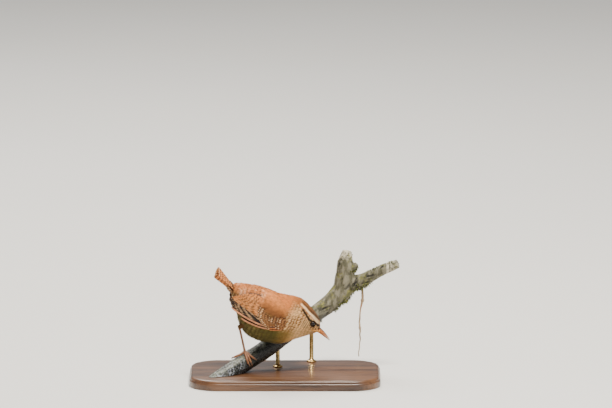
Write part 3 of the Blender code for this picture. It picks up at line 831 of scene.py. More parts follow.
@dataclass(frozen=True)
class WingForm:
    """The surface that a folded wing lies on, laid out from the wrist along and across it."""

    body: BodyForm
    wrist: tuple[float, float, float] = (1.5, 0.0, 41.2)
    slope: float = math.radians(21.9)
    raised: float = 0.7
    # Place along the body's axis, half width of the shell.
    shell: Table = ((-18.0, 11.4), (-12.0, 13.4), (-5.0, 14.7), (1.5, 15.0), (7.0, 14.5),
                    (12.0, 13.0), (18.0, 10.6), (24.0, 8.3), (30.0, 6.4))
    shell_middle: float = -1.0
    shell_half: float = 18.5
    # Along the wing: its lower edge, its upper edge, lift of its outer face.
    edges: Table = ((-3.0, -1.0, 1.0, 0.2), (-1.0, -2.0, 2.4, 1.6), (1.0, -3.6, 4.6, 2.3),
                    (3.0, -4.6, 6.4, 2.55), (8.0, -6.4, 10.4, 2.55), (15.0, -7.6, 12.6, 2.3),
                    (22.0, -7.8, 12.4, 1.9), (30.0, -7.0, 10.4, 1.5), (36.0, -4.0, 8.0, 1.3),
                    (44.0, 0.0, 4.0, 1.1))

    @property
    def along(self) -> Array:
        """From the wrist to the tip."""
        return np.array([-math.cos(self.slope), 0.0, math.sin(self.slope)])

    @property
    def across(self) -> Array:
        """Across the wing, towards the back."""
        return np.array([math.sin(self.slope), 0.0, math.cos(self.slope)])

    def place(self, points: Array) -> tuple[Array, Array]:
        """Where points lie along and across the wing."""
        local = points - np.asarray(self.wrist)
        return local @ self.along, local @ self.across

    def chart(self, side: Side) -> Chart:
        """The wing's surface on one side of the bird.

        Args:
            side: Which side.

        Returns:
            A function from along, across and lift to points.
        """
        def point(along: Array, across: Array, lift: Array) -> Array:
            """Points off the larger of shell and trunk, pushed out along the shell's normal."""
            along, across, lift = np.broadcast_arrays(along, across, lift)
            spot = (np.asarray(self.wrist) + along[..., None] * self.along
                    + across[..., None] * self.across)
            place, height = self.body.across(spot)
            shell = smooth(self.shell, 1, place)
            lean = (height - self.shell_middle) / self.shell_half
            root = np.sqrt(np.maximum(1 - lean**2, 0.05))
            out = np.maximum(shell * root, self.body.side(place, height))
            normal = (lean * shell / self.shell_half)[..., None] * self.body.back
            normal[..., 1] += root
            spot = spot + unit(normal) * (lift + self.raised)[..., None]
            spot[..., 1] += out
            spot[..., 1] *= side.value
            return spot

        return point


@dataclass(frozen=True)
class TailForm:
    """The arched sheet that the tail feathers lie in, rolled about the tail's axis."""

    root: tuple[float, float, float] = (-28.3, 0.0, 55.1)
    slope: float = math.radians(53.0)
    roll: float = math.radians(20.0)
    cut: float = 9.6
    length: float = 29.0
    sunk: float = 3.5
    pitch: float = 0.95
    steps: tuple[float, ...] = (0.0, 0.1, 0.5, 1.1, 2.0, 3.2)
    arch_root: float = 0.16
    arch_tip: float = 0.26

    @property
    def start(self) -> float:
        """Where the feathers leave the body, along the axis."""
        return self.cut - self.sunk

    @property
    def axis(self) -> Array:
        """From the rump to the tip."""
        return np.array([-math.cos(self.slope), 0.0, math.sin(self.slope)])

    def chart(self, along: Array, out: Array, lift: Array) -> Array:
        """Points of the sheet: lift less the arch, turned by the roll, along the axis.

        Args:
            along: Places from the rump.
            out: Places sideways.
            lift: Heights over the sheet.

        Returns:
            The points.
        """
        along, out, lift = np.broadcast_arrays(along, out, lift)
        face = np.array([math.sin(self.slope), 0.0, math.cos(self.slope)])
        share = (along - self.start) / (self.length - self.start)
        up = lift - out**2 * (self.arch_root + (self.arch_tip - self.arch_root) * share) / 2
        turned_out = out * math.cos(self.roll) + up * math.sin(self.roll)
        turned_up = up * math.cos(self.roll) - out * math.sin(self.roll)
        point = (np.asarray(self.root) + along[..., None] * self.axis
                 + turned_up[..., None] * face)
        point[..., 1] += turned_out
        return point


@dataclass(frozen=True)
class BranchForm:
    """The perch's axis lines with their radii, and the way a toe finds its place on them."""

    trunk: Table = (
        (-56.0, -28.9, -1.9, 6.2), (-26.5, -5.0, 13.9, 6.2), (-12.2, 6.6, 21.0, 6.1),
        (4.8, 20.3, 30.8, 5.9), (21.1, 33.0, 40.2, 5.9), (31.3, 38.0, 47.1, 6.2),
        (39.4, 41.0, 55.6, 7.1), (41.1, 41.5, 65.9, 6.4), (41.3, 41.5, 74.8, 5.4),
        (42.5, 41.5, 82.4, 3.2),
    )
    arm: Table = (
        (41.5, 41.0, 57.0, 5.2), (49.6, 40.0, 60.6, 5.3), (56.4, 39.0, 63.9, 4.4),
        (61.9, 38.0, 67.0, 3.9), (68.7, 37.0, 70.7, 3.8), (77.6, 36.0, 74.3, 3.2),
    )
    spur: Table = ((45.0, 41.0, 69.0, 3.4), (49.4, 40.5, 73.3, 1.7))
    rootlet: Table = (
        (52.6, 39.4, 60.0, 0.9), (52.9, 39.4, 54.0, 0.75), (52.9, 39.6, 48.4, 0.8),
        (51.5, 39.3, 41.5, 0.5), (51.0, 39.5, 31.5, 0.55), (51.4, 39.6, 22.0, 0.45),
        (50.3, 39.5, 9.0, 0.35),
    )
    even_rows: int = 7

    def point(self, place: float, angle: float, lift: float) -> Array:
        """A point off the trunk of the branch.

        Args:
            place: Where along X.
            angle: Angle from the top towards the near side, in degrees.
            lift: Height over the bark, or depth where negative.

        Returns:
            The point.
        """
        table = self.trunk[:self.even_rows]
        step = 0.1
        centre = np.array([place, smooth(table, 1, place), smooth(table, 2, place)])
        onward = np.array([place + step, smooth(table, 1, place + step),
                           smooth(table, 2, place + step)])
        run = unit(onward - centre)
        top = unit(np.array([0.0, 0.0, 1.0]) - run * run[2])
        near = np.cross(run, top)
        near = near * -np.sign(near[1])
        turn = math.radians(angle)
        reach = float(smooth(table, 3, place)) + lift
        return centre + reach * (math.cos(turn) * top + math.sin(turn) * near)


def smooth_path(rows: Table, steps: int) -> tuple[Array, Array]:
    """Points and radii read evenly from a smooth curve.

    Args:
        rows: The curve's own points with their radii.
        steps: How many points are read.

    Returns:
        The points and the radii.
    """
    table = np.asarray(rows, dtype=float)
    run = np.concatenate([[0.0], np.cumsum(np.linalg.norm(np.diff(table[:, :3], axis=0), axis=1))])
    table = np.column_stack([run, table])
    at = np.linspace(0.0, run[-1], steps)
    found = np.column_stack([smooth(table, column, at) for column in range(1, 5)])
    return found[:, :3], found[:, 3]


def tube_rings(points: Array, radii: Array, columns: int, flat: float = 1.0,
               up: Sequence[float] = (0.0, 0.0, 1.0)) -> tuple[Array, Array]:
    """Rings of points round a path, in a frame that keeps one side up.

    A ring's point is the path's point plus the radius times the cosine of its angle along the
    up direction, times flat, plus the radius times the sine along the sideways direction.

    Args:
        points: The path.
        radii: Its radius at each point, or one row of radii round each ring.
        columns: Points in a ring.
        flat: Height of the ring over its width.
        up: The direction of angle 0, as near as the path allows.

    Returns:
        The rings, and the angle of each point of a ring.
    """
    run = unit(np.gradient(points, axis=0))
    over = np.asarray(up) - run * (run @ np.asarray(up))[:, None]
    over = unit(over)
    beside = np.cross(run, over)
    angle = turns(columns)
    radii = np.asarray(radii)
    if radii.ndim == 1:
        radii = np.repeat(radii[:, None], columns, axis=1)
    rings = (points[:, None] + (radii * np.cos(angle) * flat)[..., None] * over[:, None]
             + (radii * np.sin(angle))[..., None] * beside[:, None])
    return rings, angle


@dataclass(frozen=True)
class TuftShape:
    """A small feather as strips of barbs, one vane at the root that parts towards the tip.

    A strip's middle leaves the shaft line by its place across times half the width, which
    grows to its full value half way; past the split each strip tapers to its own tip.
    """

    strips: int = 7
    rows: int = 6
    split: float = 0.45
    ragged: float = 0.2
    rounding: float = 0.22
    cup: float = 0.16
    root_width: float = 0.45
    flare: float = 0.12

    @property
    def faces(self) -> Array:
        """The quads of one tuft."""
        one = grid_faces(self.rows, 2)
        steps = (np.arange(self.strips) * self.rows * 2)[:, None, None]
        return (one[None] + steps).reshape(-1, 4)

    def build(self, centre: Array, normal: Array, width: Array,
              draws: np.random.Generator) -> tuple[Array, Array, Array]:
        """Lay the strips of many tufts.

        Args:
            centre: Points of each tuft's middle line, by tuft and row.
            normal: The outward normals there.
            width: Each tuft's width.
            draws: Where the raggedness comes from.

        Returns:
            Points by tuft, and how far along and across its tuft each point is.
        """
        count, last = len(centre), self.rows - 1
        spot = (np.arange(self.strips) + 0.5) / self.strips * 2 - 1
        reach = 1 - self.rounding * spot**2 - self.ragged * draws.random((count, self.strips))
        along = reach[:, :, None] * np.linspace(0.0, 1.0, self.rows)
        index = np.minimum(along * last, last - 1e-6)
        low = index.astype(int)
        part = (index - low)[..., None]
        number = np.arange(count)[:, None, None]
        middle = centre[number, low] * (1 - part) + centre[number, low + 1] * part
        up = unit(normal[number, low] * (1 - part) + normal[number, low + 1] * part)
        run = np.gradient(centre, axis=1)
        run = unit(run[number, low] * (1 - part) + run[number, low + 1] * part)
        beside = unit(np.cross(up, run))
        spread = self.root_width + (1 - self.root_width) * ease(0.0, 0.55, along)
        half = width[:, None, None] / 2 * spread * (1 + self.flare * along**3)
        taper = 1 - 0.88 * ease(self.split, 1.0, along / reach[:, :, None])
        own = half / self.strips * 1.2 * taper
        offset = spot[None, :, None] * half
        twist = draws.normal(0.0, 0.22, (count, self.strips))[..., None]
        drop = -self.cup * half * spot[None, :, None] ** 2
        points = []
        for edge in (-1.0, 1.0):
            shift = (offset + edge * own)[..., None] * beside
            rise = (drop + edge * own * twist)[..., None] * up
            points.append(middle + shift + rise)
        points = np.stack(points, axis=3)
        along = np.repeat((along / reach.max())[..., None], 2, axis=3)
        across = np.broadcast_to(spot[None, :, None, None], along.shape)
        return (points.reshape(count, -1, 3), along.reshape(count, -1), across.reshape(count, -1))


@dataclass(frozen=True)
class Spot:
    """Where points are on the body, and the waves that markings follow there.

    Args:
        place: Place along the axis.
        height: Height across it.
        around: Distance round the body from the back.
        small: Phase along the small scales of the head.
        wide: Phase along the wide scales of the breast and mantle.
        blotch: Noise from -1 to 1.
        wave: Wave of the rump's and vent's bars.
        flank_wave: Wave of the flank's bars.
    """

    place: Array
    height: Array
    around: Array
    small: Array
    wide: Array
    blotch: Array
    wave: Array
    flank_wave: Array


@dataclass(frozen=True)
class Plumage:
    """The bird's colours and where they lie, for skin and coat alike.

    Regions are smooth masks of the place along the body's axis and the height across it. The
    scales, bars and streaks inside them are waves of the place and the distance round the body.
    """

    form: BodyForm

    mantle: Array = hue(220, 154, 94)
    # shade is painted shade: the mantle's colour as it looks in shadow
    shade: Array = hue(136, 94, 56)
    nape: Array = hue(204, 146, 94)
    crown: Array = hue(164, 118, 74)
    brow: Array = hue(255, 232, 198)
    stripe: Array = hue(44, 30, 18)
    pale: Array = hue(250, 218, 170)
    cheek: Array = hue(190, 138, 86)
    dark: Array = hue(84, 58, 34)
    throat: Array = hue(244, 212, 168)
    breast: Array = hue(196, 164, 102)
    # belly is the breast's buff darkened towards olive: painted shade on the underside
    belly: Array = hue(130, 122, 74)
    rump: Array = hue(222, 158, 104)
    bar: Array = hue(88, 56, 34)
    spot: Array = hue(255, 232, 206)
    thigh: Array = hue(140, 108, 68)
    brow_line: Table = ((-34.0, 9.8), (-31.4, 11.3), (-28.0, 12.8), (-24.7, 14.1), (-17.7, 16.9))
    stripe_line: Table = ((-34.6, 8.2), (-33.0, 8.9), (-30.5, 8.8), (-26.8, 9.9), (-20.1, 14.2))
    over_line: Table = ((-33.0, 12.0), (-30.6, 12.9), (-26.0, 15.0), (-18.0, 18.2))

    def scales(self, place: Array, around: Array, size: float) -> Array:
        """Phase from 0 to 1 along overlapping scales: rows that step by half a scale.

        Args:
            place: Place along the body in millimetres.
            around: Distance round the body.
            size: Length of a scale.

        Returns:
            The share of the scale's length, bowed back at the scale's sides.
        """
        row = place / size
        shifted = around / size + 0.5 * (np.floor(row) % 2)
        beside = (shifted - np.round(shifted)) * 2
        return (row + 0.5 * beside**2) % 1.0

    def read(self, points: Array) -> Spot:
        """Where points are on the body, with the waves that the markings follow.

        Args:
            points: Places on or near the trunk.

        Returns:
            Their place, height, distance round the body, phases and noise.
        """
        place, height = self.form.across(points)
        middle, half, width = self.form.section(place)
        turn = np.arctan2(points[..., 1] / width, (height - middle) / half)
        around = turn * (half + width) / 2
        bent = np.stack([place, around, np.zeros_like(place)], axis=-1)
        place_w = place + 0.7 * noise(bent, 3.2, 91)
        around_w = around + 0.7 * noise(bent, 3.2, 92)
        wave = np.sin(place * 2.9 + 0.9 * np.abs(np.sin(around * 1.1)) + 1.4 * noise(bent, 3.0, 95))
        return Spot(place, height, around, self.scales(place_w, around_w, 2.1),
                    self.scales(place_w, around_w, 3.4), noise(bent, 2.4, 93), wave,
                    np.sin(place * 2.3 + 1.2 * noise(bent, 4.0, 94)))

    def trunk(self, at: Spot, pick: Array) -> Array:
        """Breast, belly, mantle, rump and vent.

        Args:
            at: Where the points are.
            pick: A value from 0 to 1 for each feather.

        Returns:
            Colours.
        """
        upper = ease(-2.5, 5.5, at.height - 0.12 * at.place)
        # Painted shade: the underside darkens to the belly colour from the breast backwards.
        colour = mix(self.belly, self.breast, 1 - ease(-20.0, -8.0, at.place))
        bars = ease(0.1, 0.8, at.flank_wave)
        colour = mix(colour, self.dark, 0.5 * bars * ease(-14.0, 4.0, at.place))
        colour = mix(colour, self.pale, 0.16 * (1 - bars) * ease(-6.0, 6.0, at.place) * (pick > 0.5))
        front = 1 - ease(-18.0, -8.0, at.place)
        colour = mix(colour, self.dark, 0.18 * ease(0.7, 0.9, at.wide) * front)
        # Painted shade: the mantle turns to the shade colour lower down the back and sides.
        mantle = mix(self.mantle, self.shade, 0.9 * (1 - ease(5.0, 13.0, at.height)))
        mantle = mix(mantle, self.bar, 0.26 * ease(0.6, 0.92, at.wide) * ease(-12.0, -2.0, at.place))
        colour = mix(colour, mantle, upper)
        rump = upper * ease(5.0, 11.0, at.place)
        colour = mix(colour, self.rump, rump)
        colour = mix(colour, self.bar, 0.5 * rump * ease(0.1, 0.8, at.wave))
        spots = 0.6 * rump * ease(0.1, 0.6, at.blotch) * (1 - ease(-0.4, 0.2, at.wave))
        colour = mix(colour, self.spot, spots)
        vent = (1 - upper) * ease(15.0, 24.0, at.place)
        colour = mix(colour, self.bar, 0.55 * vent * ease(0.0, 0.6, at.wave))
        return mix(colour, self.pale, 0.6 * vent * (1 - ease(-0.7, -0.2, at.wave)))

    def face(self, colour: Array, at: Spot, pick: Array) -> Array:
        """Crown, cheeks, ear and throat, laid over the trunk's colours.

        Args:
            colour: The trunk's colours.
            at: Where the points are.
            pick: A value from 0 to 1 for each feather.

        Returns:
            Colours.
        """
        head = 1 - ease(-15.0, -7.5, at.place + 0.12 * at.height)
        top = ease(12.2, 14.8, at.height - 0.28 * (at.place + 24.0))
        crown = mix(self.crown, self.nape, ease(-29.0, -14.0, at.place))
        streak = ease(0.0, 0.6, np.sin(at.around * 4.4 + 1.8 * at.blotch)) * ease(0.35, 0.7, at.small)
        crown = mix(crown, self.dark, 0.42 * streak + 0.14 * (pick - 0.5))
        colour = mix(colour, crown, head * top)
        centre = ease(0.06, 0.28, at.small) * (1 - ease(0.5, 0.68, at.small))
        cheek = mix(self.cheek, self.pale, centre)
        rim = 0.8 * ease(0.66, 0.78, at.small) * (1 - ease(0.9, 0.99, at.small))
        cheek = mix(cheek, self.dark, rim)
        cheek = mix(cheek, self.pale, 0.4 * ease(0.1, 0.5, at.blotch))
        ear = np.exp(-(((at.place + 26.5) / 3.2) ** 2 + ((at.height - 6.5) / 3.6) ** 2))
        ray = ease(-0.1, 0.6, np.sin((at.height - 0.75 * at.place) * 4.6))
        cheek = mix(cheek, mix(self.pale, self.dark, ray), 0.8 * np.clip(ear * 1.4, 0, 1))
        region = head * (1 - top) * ease(-4.0, 2.5, at.height + 0.3 * (at.place + 24.0))
        colour = mix(colour, cheek, region)
        low = head * (1 - ease(-1.5, 3.5, at.height + 0.25 * (at.place + 24.0)))
        chin = mix(self.throat, self.breast, 0.5 * ease(0.6, 0.85, at.small) + 0.1)
        colour = mix(colour, chin, low * (1 - ease(-24.0, -16.0, at.place)))
        moustache = np.exp(-(((at.place + 31.5) / 3.0) ** 2 + ((at.height - 2.9) / 1.1) ** 2))
        return mix(colour, self.pale, 0.8 * moustache)

    def stripes(self, colour: Array, at: Spot) -> Array:
        """The eye stripe, the brow and the dark line over it, by distance from their lines.

        Args:
            colour: The colours under them.
            at: Where the points are.

        Returns:
            Colours.
        """
        gap, share = line_distance(at.place, at.height, self.stripe_line)
        colour = mix(colour, self.stripe, (1 - ease(0.5, 1.15 - 0.35 * share, gap)) * 0.9)
        gap, share = line_distance(at.place, at.height, self.brow_line)
        colour = mix(colour, self.brow, 1 - ease(0.6, 1.15, gap + 0.3 * share + 0.25 * at.blotch))
        gap, _ = line_distance(at.place, at.height, self.over_line)
        return mix(colour, self.stripe, 0.45 * (1 - ease(0.25, 0.75, gap)))

    def body(self, points: Array, along: Array, across: Array, pick: Array) -> Array:
        """Colours of the trunk and head.

        Args:
            points: Places on or near the trunk.
            along: Share of the feather's length.
            across: From -1 to 1 across the feather.
            pick: A value from 0 to 1 for each feather.

        Returns:
            Linear colours.
        """
        at = self.read(points)
        colour = self.stripes(self.face(self.trunk(at, pick), at, pick), at)
        # Each feather darkens towards its root: partly its grey down, partly painted shade deep in the
        # coat.
        tone = 0.74 + 0.3 * ease(0.0, 0.75, along) + 0.16 * (pick - 0.5) - 0.05 * across**2
        return deepen(colour * (tone + 0.07 * at.blotch)[..., None])


@dataclass(frozen=True)
class Place:
    """Where the eyes and the bill are on the head."""

    form: BodyForm
    eye_place: tuple[float, float] = (-30.5, 8.3)
    eye_radius: float = 1.7
    eye_sink: float = 0.85
    bill_base: tuple[float, float, float] = (22.6, 0.0, 35.25)
    bill_slope: float = math.radians(-42.5)
    gape: tuple[float, float] = (-4.0, -2.4)

    def eye_normal(self, side: Side) -> Array:
        """The way the eye looks out of the head."""
        place, height = self.eye_place
        step = 0.2
        here = self.form.flank(place, height, side)
        back = self.form.flank(place + step, height, side) - here
        up = self.form.flank(place, height + step, side) - here
        normal = unit(np.cross(back, up))
        return normal * np.sign(normal[1] * side.value)

    def eye_centre(self, side: Side, lift: float = 0.0) -> Array:
        """The middle of the eyeball, or a point off it along the eye's axis."""
        return self.form.flank(*self.eye_place, side) + self.eye_normal(side) * (lift - self.eye_sink)

    def bill(self, along: Array, up: Array, out: Array) -> Array:
        """Points in the bill's own frame.

        Args:
            along: Distances from its base.
            up: Heights across it.
            out: Distances sideways.

        Returns:
            The points in the part's frame.
        """
        axis = np.array([math.cos(self.bill_slope), 0.0, math.sin(self.bill_slope)])
        over = np.array([-math.sin(self.bill_slope), 0.0, math.cos(self.bill_slope)])
        along, up, out = np.broadcast_arrays(along, up, out)
        point = np.asarray(self.bill_base) + along[..., None] * axis + up[..., None] * over
        point[..., 1] += out
        return point


@dataclass
class Skin:
    """The bare skin under the coat: trunk and thighs in one surface."""

    form: BodyForm
    plumage: Plumage
    rows: int = 90
    columns: int = 72
    voxel: float = 0.5
    # Hip and heel of each leg, right then left.
    legs: tuple[Table, ...] = (((-22.0, -5.5, 43.0), (-31.1, -6.0, 38.1)),
                               ((-6.0, 5.5, 38.0), (-13.0, 14.8, 28.6)))
    thigh_radii: tuple[float, float, float] = (3.9, 2.6, 0.95)

    def build(self, material: bpy.types.Material) -> bpy.types.Object:
        """Sweep the trunk inside the coat's depth, run the thighs into it and fuse them."""
        draft = Draft()
        place = np.linspace(*self.form.ends, self.rows)
        angle = turns(self.columns)
        depth = smooth(self.form.coat, 1, place)
        rings = self.form.point(place[:, None] + 0 * angle, angle + 0 * place[:, None],
                                -depth[:, None])
        draft.add_loft(rings[None])
        for hip, heel in self.legs:
            hip, heel = np.array(hip), np.array(heel)
            path = smooth_path(tuple((*spot, radius) for spot, radius in
                                     zip((hip, (hip + heel) / 2, heel), self.thigh_radii)), 14)
            rings, _ = tube_rings(*path, 20)
            draft.add_loft(rings[None])
        points, faces, _ = fuse(draft, self.voxel)
        made = Draft()
        half = np.full(len(points), 0.5)
        # The skin takes the coat's colours darkened, as painted shade under the coat.
        tint = self.plumage.body(points, half, half * 0, half)
        made.add(points, [faces], tint=tint * 0.72, lie=np.column_stack([half, half * 0, half]))
        return made.finish("skin", material, Slot.BUFF,
                           ("head", "neck", "torso", "thigh_left", "thigh_right"))


@dataclass
class Coat:
    """The small feathers of head and body, rooted in the skin and lying rearwards.

    Each feather's middle line walks over the trunk from its root, rising from the skin to the
    trunk's outer surface, so that every row of tips covers the roots behind it.
    """

    form: BodyForm
    wing: WingForm
    branch: BranchForm
    place: Place
    plumage: Plumage
    head_shape: TuftShape = TuftShape(strips=4, rows=4, split=0.35, ragged=0.22)
    body_shape: TuftShape = TuftShape(strips=7, rows=6)
    row_share: float = 0.17
    column_share: float = 0.42
    eye_clear: float = 2.25
    bill_clear: float = 1.75
    # Along the wing, the line that the scapulars' tips reach.
    scapular_line: Table = ((-1.0, -4.5), (1.0, -1.0), (3.5, 4.2), (14.3, 4.4), (21.5, 7.8),
                            (26.0, 10.2), (32.0, 12.5))
    reach: float = 4.2
    rear: float = 20.0
    head_end: float = -15.0
    thigh_feathers: int = 420

    def roots(self, first: float, last: float, draws: np.random.Generator) -> tuple[Array, Array]:
        """Roots in staggered rows round the trunk, jittered.

        Args:
            first: Place of the first row.
            last: Place past the last row.
            draws: Where the jitter comes from.

        Returns:
            Places along the axis and angles from the back.
        """
        places, angles = [], []
        row = first
        number = 0
        while row < last:
            length = float(smooth(self.form.coat, 2, row))
            width = float(smooth(self.form.coat, 3, row))
            middle, half, wide = self.form.section(np.array(row))
            girth = math.pi * float(half + wide)
            count = max(int(girth / (width * self.column_share)), 8)
            angle = (np.arange(count) + number % 2 * 0.5 + draws.normal(0, 0.25, count)) / count
            angles.append(angle * 2 * math.pi)
            step = length * self.row_share
            places.append(row + draws.normal(0, 0.35, count) * step)
            slope = abs(float(smooth(self.form.stations, 1, row + 0.3))
                        - float(smooth(self.form.stations, 1, row))) / 0.3
            row += step / math.sqrt(1 + slope**2)
            number += 1
        return np.concatenate(places), np.concatenate(angles) % (2 * math.pi)

    def kept(self, points: Array) -> Array:
        """Which roots aren't on an eye, in the mouth, or under the wings' open feathers."""
        keep = np.ones(len(points), dtype=bool)
        for side in Side:
            keep &= np.linalg.norm(points - self.place.eye_centre(side), axis=1) > self.eye_clear
        axis = unit(self.place.bill(1.0, 0.0, 0.0) - self.place.bill(0.0, 0.0, 0.0))
        local = points - self.place.bill(0.0, 0.1, 0.0)
        run = local @ axis
        keep &= (np.linalg.norm(local - np.outer(run, axis), axis=1) > self.bill_clear) | (run < -1.6)
        along, across = self.wing.place(points)
        low = smooth(self.wing.edges, 1, along)
        line = smooth(self.scapular_line, 1, along + self.reach)
        under = (along > -1.5) & (along < self.rear) & (across > low - 1.2) & (across < line)
        return keep & ~under

    def settle(self, points: Array, share: Array) -> Array:
        """Lift points that a wing covers on to it, and move points out of the branch.

        Args:
            points: Points of the feathers' middle lines.
            share: How far along its feather each is.

        Returns:
            The moved points.
        """
        points = points.copy()
        along, across = self.wing.place(points)
        low = smooth(self.wing.edges, 1, along) + 3.0 * ease(1.5, 4.5, along)
        high = smooth(self.wing.edges, 2, along)
        top = smooth(self.wing.edges, 3, along)
        start = along[:, :1]
        hold = (ease(low - 2.5, low, across) * (1 - ease(high + 0.2, high + 3.4, across))
                * ease(-5.0, -0.5, along) * (1 - ease(self.rear - 1.0, self.rear + 0.5, start)))
        for side in Side:
            chosen = (points[..., 1] * side.value > 0) & (hold > 0.01)
            over = self.wing.chart(side)(along[chosen], across[chosen], top[chosen])
            own = np.abs(points[..., 1][chosen])
            level = np.maximum(np.abs(over[..., 1]) + 0.3 * share[chosen], own)
            points[..., 1][chosen] = side.value * (own + (level - own) * hold[chosen])
        line, radii = smooth_path(self.branch.trunk[:self.branch.even_rows], 60)
        gap = np.linalg.norm(points[..., None, :] - line, axis=-1)
        nearest = gap.argmin(axis=-1)
        distance = np.take_along_axis(gap, nearest[..., None], axis=-1)[..., 0]
        need = radii[nearest] + 0.45
        away = unit(points - line[nearest])
        inside = distance < need
        return np.where(inside[..., None], line[nearest] + away * need[..., None], points)

    def lay(self, places: Array, angles: Array, shape: TuftShape,
            draws: np.random.Generator) -> tuple[Array, Array, Array]:
        """Walk each feather's middle line over the trunk.

        Args:
            places: Places of the roots.
            angles: Their angles.
            shape: The tufts' shape.
            draws: Where lengths, leans and lifts come from.

        Returns:
            Middle lines, their normals, and the feathers' widths.
        """
        count = len(places)
        start = self.form.point(places, angles)
        depth = smooth(self.form.coat, 1, places)
        length = smooth(self.form.coat, 2, places) * (1 + 0.14 * draws.normal(size=count))
        width = smooth(self.form.coat, 3, places) * (1 + 0.12 * draws.normal(size=count))
        clump = noise(start, 4.5, 11)
        heading = 0.24 * clump * ease(-30.0, -10.0, places) + draws.normal(0, 0.1, count)
        wing_along, wing_across = self.wing.place(start)
        over = ease(-2.0, 4.0, wing_along) * (1 - ease(18.0, 24.0, wing_along))
        over = over * ease(2.0, 5.0, wing_across) * (1 - ease(9.0, 15.0, wing_across))
        heading = heading + 0.3 * over * np.sign(np.sin(angles))
        fluff = 0.16 * depth * (1 + noise(start, 3.0, 12)) + 0.08 * depth * draws.normal(size=count)
        shares = np.linspace(0.0, 1.0, shape.rows)
        step = length / (shape.rows - 1)
        place, angle = places.copy(), angles.copy()
        centre = np.empty((count, shape.rows, 3))
        normals = np.empty_like(centre)
        for row, share in enumerate(shares):
            here, normal, speed, turn = self.form.frame(place, angle)
            lift = -depth + (depth + fluff) * share**0.8 - 0.1 * depth
            centre[:, row] = here + normal * lift[:, None]
            normals[:, row] = normal
            place = place + step * np.cos(heading) / speed
            angle = angle + step * np.sin(heading) / turn
        centre = self.settle(centre, np.broadcast_to(shares, centre.shape[:2]))
        return centre, normals, width

    def thighs(self, skin: Skin, material: bpy.types.Material) -> bpy.types.Object:
        """Short feathers down both thighs, from the flank to the heel.

        Args:
            skin: Where the thighs' hips and heels are.
            material: The coat's finish.

        Returns:
            The piece.
        """
        draft = Draft()
        draws = np.random.default_rng(7)
        shape = TuftShape(strips=5, rows=4)
        count = self.thigh_feathers
        for number, (hip, heel) in enumerate(skin.legs):
            hip, heel = np.array(hip), np.array(heel)
            length = float(np.linalg.norm(heel - hip))
            run = (heel - hip) / length
            beside = unit(np.cross(run, np.array([0.0, 1.0, 0.2])))
            over = np.cross(beside, run)
            spot = np.arange(count)
            share = (spot + 0.5) / count * 0.96
            angle = spot * GOLDEN_ANGLE + 0.2 * draws.normal(size=count)
            out = np.cos(angle)[:, None] * beside + np.sin(angle)[:, None] * over
            rows = np.array([0.0, 1 / 3, 2 / 3, 1.0])
            reach = 2.6 * (1 + 0.15 * draws.normal(size=count)) * (1 - 0.35 * share)
            down = share[:, None] * length + reach[:, None] * rows
            table = ((0.0, 3.9), (length / 2, 2.7), (length, 1.05), (length + 1.5, 0.95))
            radius = smooth(table, 1, down) + 0.15 + 0.4 * rows
            centre = hip + down[..., None] * run + radius[..., None] * out[:, None]
            centre = self.settle(centre, np.broadcast_to(rows, down.shape))
            normal = np.repeat(out[:, None], 4, axis=1)
            width = 1.5 - 0.5 * share
            points, along, across = shape.build(centre, normal, width, draws)
            pick = draws.random(count)
            wave = np.sin(along * 5 + pick[:, None]) ** 2
            tint = mix(self.plumage.thigh, self.plumage.dark, 0.5 * wave)
            # Each thigh feather darkens towards its root: partly its grey down, partly painted shade deep
            # in the coat.
            tint = deepen(tint * (0.8 + 0.3 * along)[..., None])
            lie = lie_values(along, across, pick[:, None])
            around = number * 0.5 + 0.02 + 0.46 * (angle % (2 * math.pi)) / (2 * math.pi)
            patch = np.stack([around[:, None] + across * PATCH / 2,
                              share[:, None] * 0.96 + 0.01 + along * PATCH], axis=-1)
            draft.add_batch(points, [shape.faces], tint=tint, lie=lie, patch=patch)
        return draft.finish("coat_thighs", material, Slot.BUFF)

    def build(self, material: bpy.types.Material) -> list[bpy.types.Object]:
        """Feather the head and the body, in pieces small enough to export."""
        pieces = []
        regions = (("coat_head", self.head_shape, self.form.ends[0] + 0.2, self.head_end, 4),
                   ("coat_body", self.body_shape, self.head_end, self.form.ends[1] - 0.4, 5))
        for name, shape, first, last, seed in regions:
            draws = np.random.default_rng(seed)
            places, angles = self.roots(first, last, draws)
            keep = self.kept(self.form.point(places, angles))
            places, angles = places[keep], angles[keep]
            centre, normals, width = self.lay(places, angles, shape, draws)
            points, along, across = shape.build(centre, normals, width, draws)
            pick = draws.random(len(places))
            root = self.form.point(places, angles)
            tint = self.plumage.body(points, along, across, pick[:, None])
            shade = 1 + 0.08 * noise(root, 5.0, 21)[:, None, None]
            lie = lie_values(along, across, pick[:, None])
            patch = np.stack([angles[:, None] / (2 * math.pi) * 0.99 + across * PATCH / 2 + 0.005,
                              (places[:, None] - first) / (last - first) * 0.98
                              + along * PATCH + 0.005], axis=-1)
            upper = np.cos(angles) > 0
            for word, chosen in (("upper", upper), ("lower", ~upper)):
                draft = Draft()
                draft.add_batch(points[chosen], [shape.faces], tint=(tint * shade)[chosen],
                                lie=lie[chosen], patch=patch[chosen])
                pieces.append(draft.finish(f"{name}_{word}", material, Slot.RUFOUS))
                log.info("%s_%s: %d feathers", name, word, chosen.sum())
        return pieces


class Pattern(Enum):
    """Markings of the large feathers."""

    PRIMARY = "pale bars on black-brown"
    EDGE = "pale pink outer web"
    ALULA = "orange-pink"
    SECONDARY = "dark bars on rufous"
    COVERT = "dark bars with a pale spot at the tip"
    TAIL = "dark bars on bright rufous"


